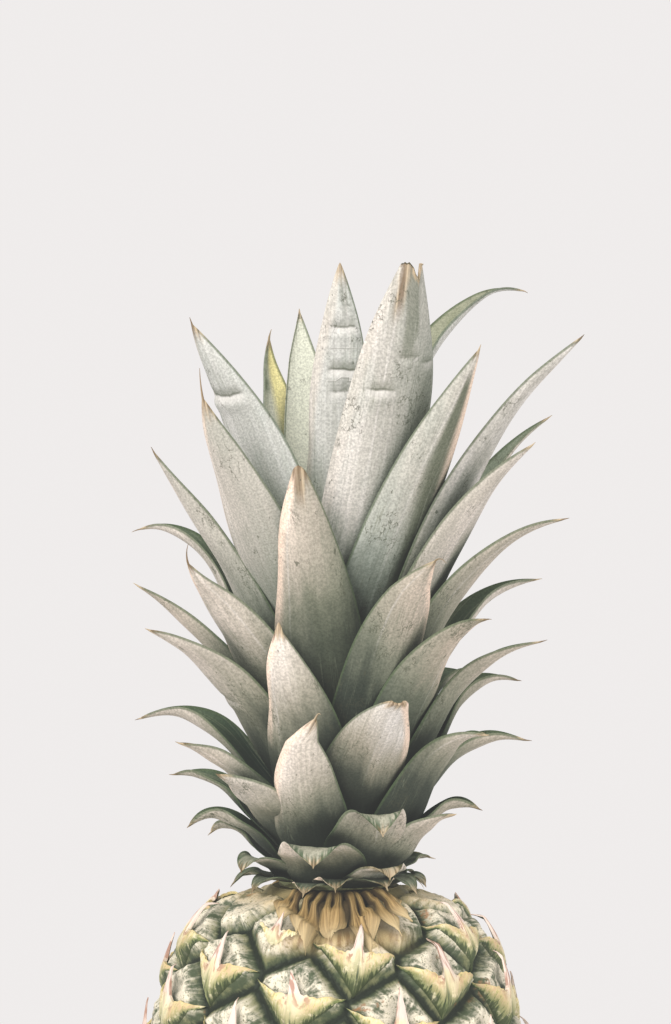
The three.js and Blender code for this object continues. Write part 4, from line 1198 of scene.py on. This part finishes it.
# The studio: a pale floor that fades into a pale surround, a broad soft light from the upper left, and a weak
# one from the right, about as high as the crown's middle.
SURROUND = (0.863, 0.839, 0.83, 1)
SURROUND_LIGHT = 0.8
FLOOR_PALE = (0.8, 0.78, 0.765, 1)
FLOOR_RADIUS = 0.62  # in metres, as the lights' places and sizes are
FLOOR_SIDES = 96
LIGHTS = {"key": ((-0.72, -1.32, 0.95), 0.8, 26.5), "fill": ((1.25, -0.75, 0.22), 1.2, 8.0)}
LIGHT_COLOUR = (1.0, 0.985, 0.965)
LIT_PLACE = (0, 0, 0.24)  # where the lights, each given by its place, size and power, point

floor_mesh = bpy.data.meshes.new("floor")
turns = np.linspace(0, 2 * math.pi, FLOOR_SIDES, endpoint=False)
corners = [(FLOOR_RADIUS * math.cos(turn), FLOOR_RADIUS * math.sin(turn), 0) for turn in turns]
floor_mesh.from_pydata(corners, [], [list(range(FLOOR_SIDES))])
floor = bpy.data.objects.new("floor", floor_mesh)
bpy.context.scene.collection.objects.link(floor)
pale_floor = new_finish("pale_floor")
distance = add_node("VectorMath", {0: object_place(pale_floor)}, operation="LENGTH").outputs["Value"]
fade = ramp(distance, 0.45 * FLOOR_RADIUS, FLOOR_RADIUS)
matt = add_node("BsdfDiffuse", {"Color": FLOOR_PALE}, pale_floor).outputs[0]
clear = add_node("BsdfTransparent", material=pale_floor).outputs[0]
faded = add_node("MixShader", {0: fade, 1: matt, 2: clear}).outputs[0]
add_node("OutputMaterial", {"Surface": faded})
floor_mesh.materials.append(pale_floor)

# The surround looks as bright as the photograph's wall, and lights the fruit a little less
world = bpy.data.worlds.new("studio")
world.use_nodes = True
background = world.node_tree.nodes["Background"]
background.inputs["Color"].default_value = SURROUND
seen = world.node_tree.nodes.new("ShaderNodeLightPath")
strength = world.node_tree.nodes.new("ShaderNodeMapRange")
strength.inputs["To Min"].default_value = SURROUND_LIGHT
world.node_tree.links.new(seen.outputs["Is Camera Ray"], strength.inputs["Value"])
world.node_tree.links.new(strength.outputs[0], background.inputs["Strength"])
bpy.context.scene.world = world

for name, (place, size, power) in LIGHTS.items():
    light = bpy.data.lights.new(name, "AREA")
    light.size = size
    light.energy = power
    light.color = LIGHT_COLOUR
    lamp = bpy.data.objects.new(name, light)
    lamp.location = place
    towards = Vector(LIT_PLACE) - Vector(place)
    lamp.rotation_euler = towards.to_track_quat("-Z", "Y").to_euler()
    bpy.context.scene.collection.objects.link(lamp)

# The camera. It stands level in front of the crown, one metre away, and cuts the fruit off as the photograph
# does.
CAMERA_DISTANCE = 1.0
CAMERA_HEIGHT = 0.2719
FOCAL_PIXELS = 3333.0
FRAME_HEIGHT = 1024
SENSOR = 36.0
camera_data = bpy.data.cameras.new("camera")
camera_data.sensor_width = SENSOR
camera_data.lens = FOCAL_PIXELS / FRAME_HEIGHT * SENSOR
camera = bpy.data.objects.new("camera", camera_data)
camera.location = (0, -CAMERA_DISTANCE, CAMERA_HEIGHT)
camera.rotation_euler = (math.radians(90), 0, 0)
bpy.context.scene.collection.objects.link(camera)
bpy.context.scene.camera = camera

# The tone. The photograph's blacks are faded and its shadows a little green: one curve of the view lifts the
# blacks, another turns the shadows, and the lights stay as they are.
FADED_BLACK = 0.03
GREEN_SHADOW = (0.12, 0.131)
GREEN_LIGHT = (0.5, 0.5)
view = bpy.context.scene.view_settings
view.view_transform = "Standard"
view.use_curve_mapping = True
_, green, _, all_colours = view.curve_mapping.curves
all_colours.points[0].location = (0.0, FADED_BLACK)
for point in (GREEN_SHADOW, GREEN_LIGHT):
    green.points.new(*point)
view.curve_mapping.update()
